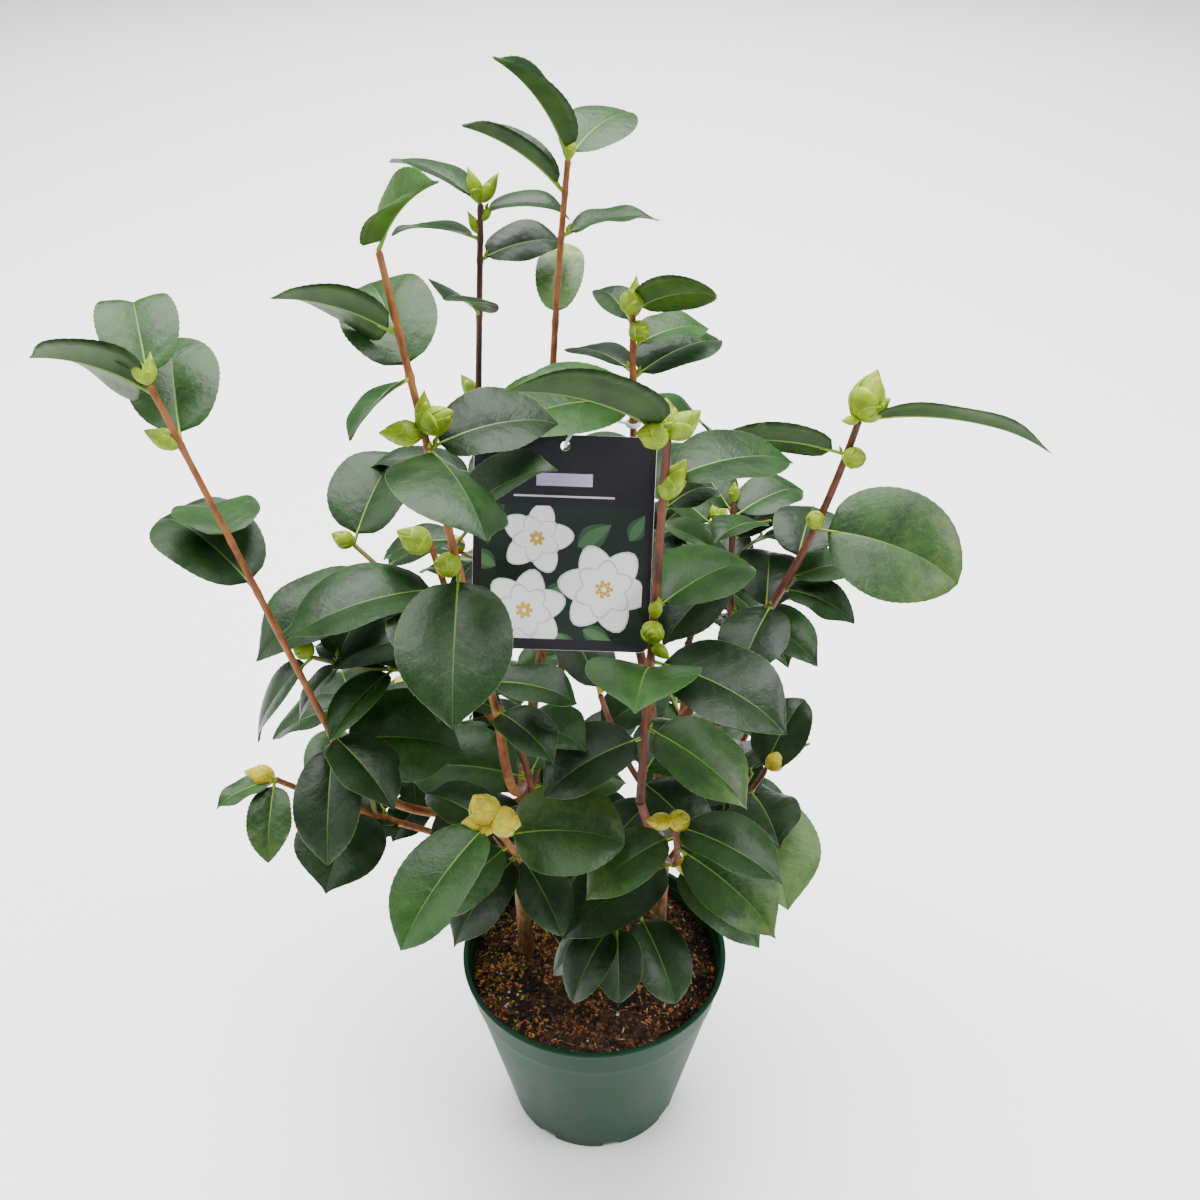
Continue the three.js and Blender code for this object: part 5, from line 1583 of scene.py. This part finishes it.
def matt_paint(tree, skin, dark, light):
    """Pale matt floor paint with a faint roller texture."""
    solid = add(tree, "TexCoord", {}).outputs["Object"]
    roller = add(tree, "TexNoise", {"Vector": solid, "Scale": per(2.5), "Detail": 4.0})
    colour = add(tree, "ValToRGB", {0: roller}, ramp=[(0.0, dark), (1.0, light)])
    bump = add(tree, "Bump", {"Strength": 0.1, "Distance": 0.1 * MM, "Height": roller})
    connect(tree, skin, {"Base Color": colour, "Normal": bump, "Roughness": 0.75})


# Each finish by its real material: how it is made, then its colours and sizes
FINISHES = {
    # Upper skins of leaves, dealt out leaf by leaf: older ones are deeper, and the paler green is painted
    # light for leaves that stand in the light; the young green is a young leaf's own paler colour with
    # painted light shining through it
    "waxy_leaf_deep": (waxy_blade, "#0a1c06", "#132c0a", "#3a5b2b"),
    "waxy_leaf_dark": (waxy_blade, "#0e2508", "#19390d", "#446a30"),
    "waxy_leaf_green_painted_lit": (waxy_blade, "#15330b", "#234a12", "#507836"),
    "waxy_leaf_olive": (waxy_blade, "#3b5a24", "#54713a", "#82985c"),
    "waxy_leaf_young_painted_glow": (waxy_blade, "#244a09", "#366310", "#6b9036"),
    "waxy_leaf_bloomed": (waxy_blade, "#17340d", "#264b15", "#54783a", 0.45, "X", "#5f7430"),
    "waxy_leaf_side_bloomed": (waxy_blade, "#17340d", "#264b15", "#54783a", 0.5, "Y", "#5f7430"),
    "waxy_leaf_mottled": (waxy_blade, "#2f4f1c", "#47672b", "#7b9150", 0.8, "X", "#a0a85e"),
    # Thick smooth margin with fine teeth: paler than the blade
    "leaf_margin": (living_skin, "#35561f", "#527433", 8, 0.45),
    # Midribs: pale yellow-green above, stronger below
    "leaf_midrib": (leaf_rib, "#6f9136", "#355a20", 0.45),
    "leaf_underside_rib": (leaf_rib, "#7d9a3c", "#5c7d2e", 0.5),
    # Undersides have no wax: matt yellow-green, both painted darker with shade, as an underside looks from
    # below
    "leaf_underside": (living_skin, "#1f3a09", "#315310", 12, 0.55),
    "young_leaf_underside": (living_skin, "#2d4b05", "#3e620a", 12, 0.5),
    # Leaf stalks: fleshy and bright
    "green_leaf_stalk": (living_skin, "#64841f", "#8aa52e", 6, 0.42),
    # Bud scales: smooth lime-green tissue with a paler edge, and a bronzed tip
    "bud_scale": (living_skin, "#5c7a02", "#94ab05", 7, 0.48),
    "bud_scale_edge": (living_skin, "#7d9414", "#a9bb2a", 4, 0.5),
    "bud_scale_tip": (living_skin, "#8f9c28", "#a9842c", 3, 0.45),
    "yellow_bud_scale": (living_skin, "#a38f14", "#cfbb22", 5, 0.45, "#8f4a14"),
    # Bark: fissured on the stems, smooth on shoots, and green on the last season's twigs
    "fissured_old_bark": (grown_bark, "#3c271a", "#82582f", "#94764f", 2.4, 1.2, 0.85),
    "orange_brown_bark": (grown_bark, "#633411", "#8f521d", "#a06d35", 3.2, 0.4, 0.6, 0.4),
    "dark_brown_bark": (grown_bark, "#331a10", "#56301c", "#744d33", 3.2, 0.4, 0.6, 0.4),
    "red_brown_bark": (grown_bark, "#421b0d", "#6b3118", "#82492c", 3.2, 0.4, 0.55, 0.4),
    "green_twig_bark": (grown_bark, "#5a5726", "#747637", "#8d7a45", 3.2, 0.25, 0.5, 0.3),
    # Pot: injection-moulded polypropylene with a satin face, splashed with soil at its foot
    "moulded_polypropylene": (moulded_plastic, "#042a18", "#093b23", "#6d6a52"),
    # Potting peat and what is in it
    "loose_peat": (crumbled, "#1f120a", "#5e3a20", 2.6, 0.95, 1.4, "#0c0907"),
    "milled_bark_chip": (crumbled, "#492a16", "#8a5d36", 2.5, 0.85, 0.5, "#1a120c"),
    "orange_bark_chip": (crumbled, "#8a4719", "#c58445", 2.5, 0.8, 0.4),
    "dark_peat_crumb": (crumbled, "#120c08", "#35221a", 1.5, 0.95, 0.6),
    "dry_straw": (crumbled, "#b08f5c", "#d8c294", 3.0, 0.7, 0.2),
    "expanded_perlite": (crumbled, "#aab4b4", "#d6dcda", 1.2, 0.8, 0.3),
    "green_algae": (crumbled, "#6b7c16", "#b3bb42", 1.6, 0.75, 0.3),
    # Label: dark coated card with a cut edge, and inks under the same gloss film
    "coated_card": (coated_print, "#141318", "#1e1c22"),
    "cut_card_edge": (coated_print, "#d2d2d4", "#e2e2e4", 0.6),
    "printed_night_green": (coated_print, "#101c15", "#1b2a20"),
    "printed_leaf": (coated_print, "#2b4730", "#3b5a3a"),
    "printed_leaf_light": (coated_print, "#3d5f3f", "#54754c"),
    "printed_petal": (coated_print, "#fbfbf8", "#ffffff"),
    "printed_petal_shade": (coated_print, "#cfd0cc", "#dfdfdb"),
    "printed_stamen": (coated_print, "#caa23c", "#e3bf5a"),
    "printed_lilac": (coated_print, "#a79cc4", "#bdb3d6"),
    "printed_rule": (coated_print, "#b9b9bf", "#d2d2d6"),
    # Tie: soft white film, a little milky
    "white_polyethylene": (living_skin, "#d9dce0", "#eceef0", 10, 0.38),
    # Stage: pale floor paint, put on with a roller
    "matt_floor_paint": (matt_paint, "#f6f6f5", "#fafaf9"),
}


def finish_named(name):
    """The finish of that name, made when it's first asked for."""
    material = bpy.data.materials.get(name)
    if material is None:
        material = bpy.data.materials.new(name)
        material.use_nodes = True
        make, *values = FINISHES[name]
        make(material.node_tree, material.node_tree.nodes["Principled BSDF"], *values)
    return material


# Shoots and boughs whose bark isn't red-brown
ORANGE_BROWN = {"left_bough", "left_shoot", "front_left_bough", "front_left_shoot", "left_inner_bough",
                "left_inner_shoots", "left_low_shoots", "top_shoot", "back_right_bough", "back_right_shoot",
                "front_low_shoot"}
DARK_BROWN = {"back_left_bough", "back_left_shoot", "back_low_left_shoots"}
BARKS = ["fissured_old_bark", "orange_brown_bark", "dark_brown_bark", "red_brown_bark", "green_twig_bark"]


def bark_of(name):
    if name in DARK_BROWN:
        return "dark_brown_bark"
    return "orange_brown_bark" if name in ORANGE_BROWN else "red_brown_bark"


def make_limbs(plant):
    pile = Pile("stems_and_boughs", BARKS)
    for name in STEMS:
        lay_limb(pile, plant.limbs[name], "stem", "fissured_old_bark", SUNK)
    for name in BOUGHS:
        lay_limb(pile, plant.limbs[name], "bough", bark_of(name))
    pile.make("old_bark", [*STEMS, *BOUGHS])


def make_shoots(plant):
    pile = Pile("leafy_shoots", BARKS)
    for name in MASSES:
        (shoot, _), *twigs = plant.limbs_of(name)
        lay_limb(pile, shoot, "shoot", bark_of(name))
        for twig, _ in twigs:
            lay_limb(pile, twig, "twig", "green_twig_bark")
    for _, twig in plant.twigs:
        lay_limb(pile, twig, "twig", "green_twig_bark")
    pile.make("young_bark", list(MASSES))


PIECE_LIMIT = 190000  # triangles after which a new piece is begun


def make_leaves(plant):
    random = np.random.default_rng(3)
    finishes = LEAF_TINTS + LEAF_PARTS
    pile, holds, number = Pile("leaves_1", finishes), set(), 1
    for name, leaf, look in sorted(plant.leaves, key=lambda row: list(MASSES).index(row[0])):
        if pile.triangles > PIECE_LIMIT:
            pile.make("foliage", sorted(holds))
            number += 1
            pile, holds = Pile(f"leaves_{number}", finishes), set()
        skin = str(random.choice(list(TINT_SHARES), p=list(TINT_SHARES.values())))
        lay_leaf(pile, leaf, {"skin": skin} | look, random)
        holds.add(name)
    pile.make("foliage", sorted(holds))


YELLOW_BELOW = 420  # buds whose foot is lower than this get less light, and turn yellow


def make_buds(plant):
    random = np.random.default_rng(9)
    pile = Pile("buds", BUD_PARTS)
    for _, bud in plant.buds:
        lay_bud(pile, bud, random, "yellow_bud_scale" if bud.foot[2] < YELLOW_BELOW else "bud_scale")
    lay_crook_buds(pile, plant)
    pile.make("foliage", sorted({name for name, _ in plant.buds}))


# The stage in metres, watts and degrees: the floor's half width, the sky's colour and strength, the camera,
# and the softboxes, each with its place, its aim, its width, its power and whether leaves mirror it
FLOOR_HALF = 7
SKY = {"Color": "#e9eff6", "Strength": 0.45}
CAMERA = {"at": (0.004, -0.654, 0.87), "down": 33, "lens": 39, "sensor": 36}
SOFTBOXES = {
    "overhead_softbox": ((-0.2, 0.4, 3.0), (0, 0.1, 0.3), 3.0, 285, True),
    "back_softbox": ((0, 3.9, 3.2), (0, 3.5, 0), 3.6, 330, False),
    "left_softbox": ((-2.2, -0.2, 1.5), (0, 0, 0.35), 1.4, 26, True),
    "right_softbox": ((2.2, -0.8, 2.2), (0, 0, 0.3), 1.4, 62, True),
}


def place_in_scene(name, data, at=(0, 0, 0)):
    thing = bpy.data.objects.new(name, data)
    thing.location = at
    bpy.context.scene.collection.objects.link(thing)
    return thing


def make_stage():
    """A plain pale floor, soft studio light, and the camera at the photograph's angle."""
    floor = bpy.data.meshes.new("floor")
    corners = [(x * FLOOR_HALF, y * FLOOR_HALF, 0) for x, y in ((-1, -1), (1, -1), (1, 1), (-1, 1))]
    floor.from_pydata(corners, [], [(0, 1, 2, 3)])
    floor.materials.append(finish_named("matt_floor_paint"))
    place_in_scene("floor", floor)
    world = bpy.data.worlds.new("studio")
    bpy.context.scene.world = world
    world.use_nodes = True
    connect(world.node_tree, world.node_tree.nodes["Background"], SKY)
    for name, (at, aim, size, power, mirrored) in SOFTBOXES.items():
        light = bpy.data.lights.new(name, "AREA")
        light.shape, light.size, light.energy = "SQUARE", size, power
        softbox = place_in_scene(name, light, at)
        softbox.rotation_euler = (Vector(aim) - Vector(at)).to_track_quat("-Z", "Y").to_euler()
        softbox.visible_glossy = mirrored
    camera = bpy.data.cameras.new("camera")
    camera.lens, camera.sensor_width = CAMERA["lens"], CAMERA["sensor"]
    stand = place_in_scene("camera", camera, CAMERA["at"])
    stand.rotation_euler = (math.radians(90 - CAMERA["down"]), 0, 0)
    bpy.context.scene.camera = stand


make_stage()
camellia = Plant()
camellia.add_limbs()
camellia.room.place(card_shape(), "card")
for shape in tie_shapes(camellia):
    camellia.room.place(shape, "tie")
camellia.add_named()
camellia.add_fill()
camellia.add_fine()
make_pot()
make_soil()
make_limbs(camellia)
make_shoots(camellia)
make_leaves(camellia)
make_buds(camellia)
make_card()
make_tie(camellia)
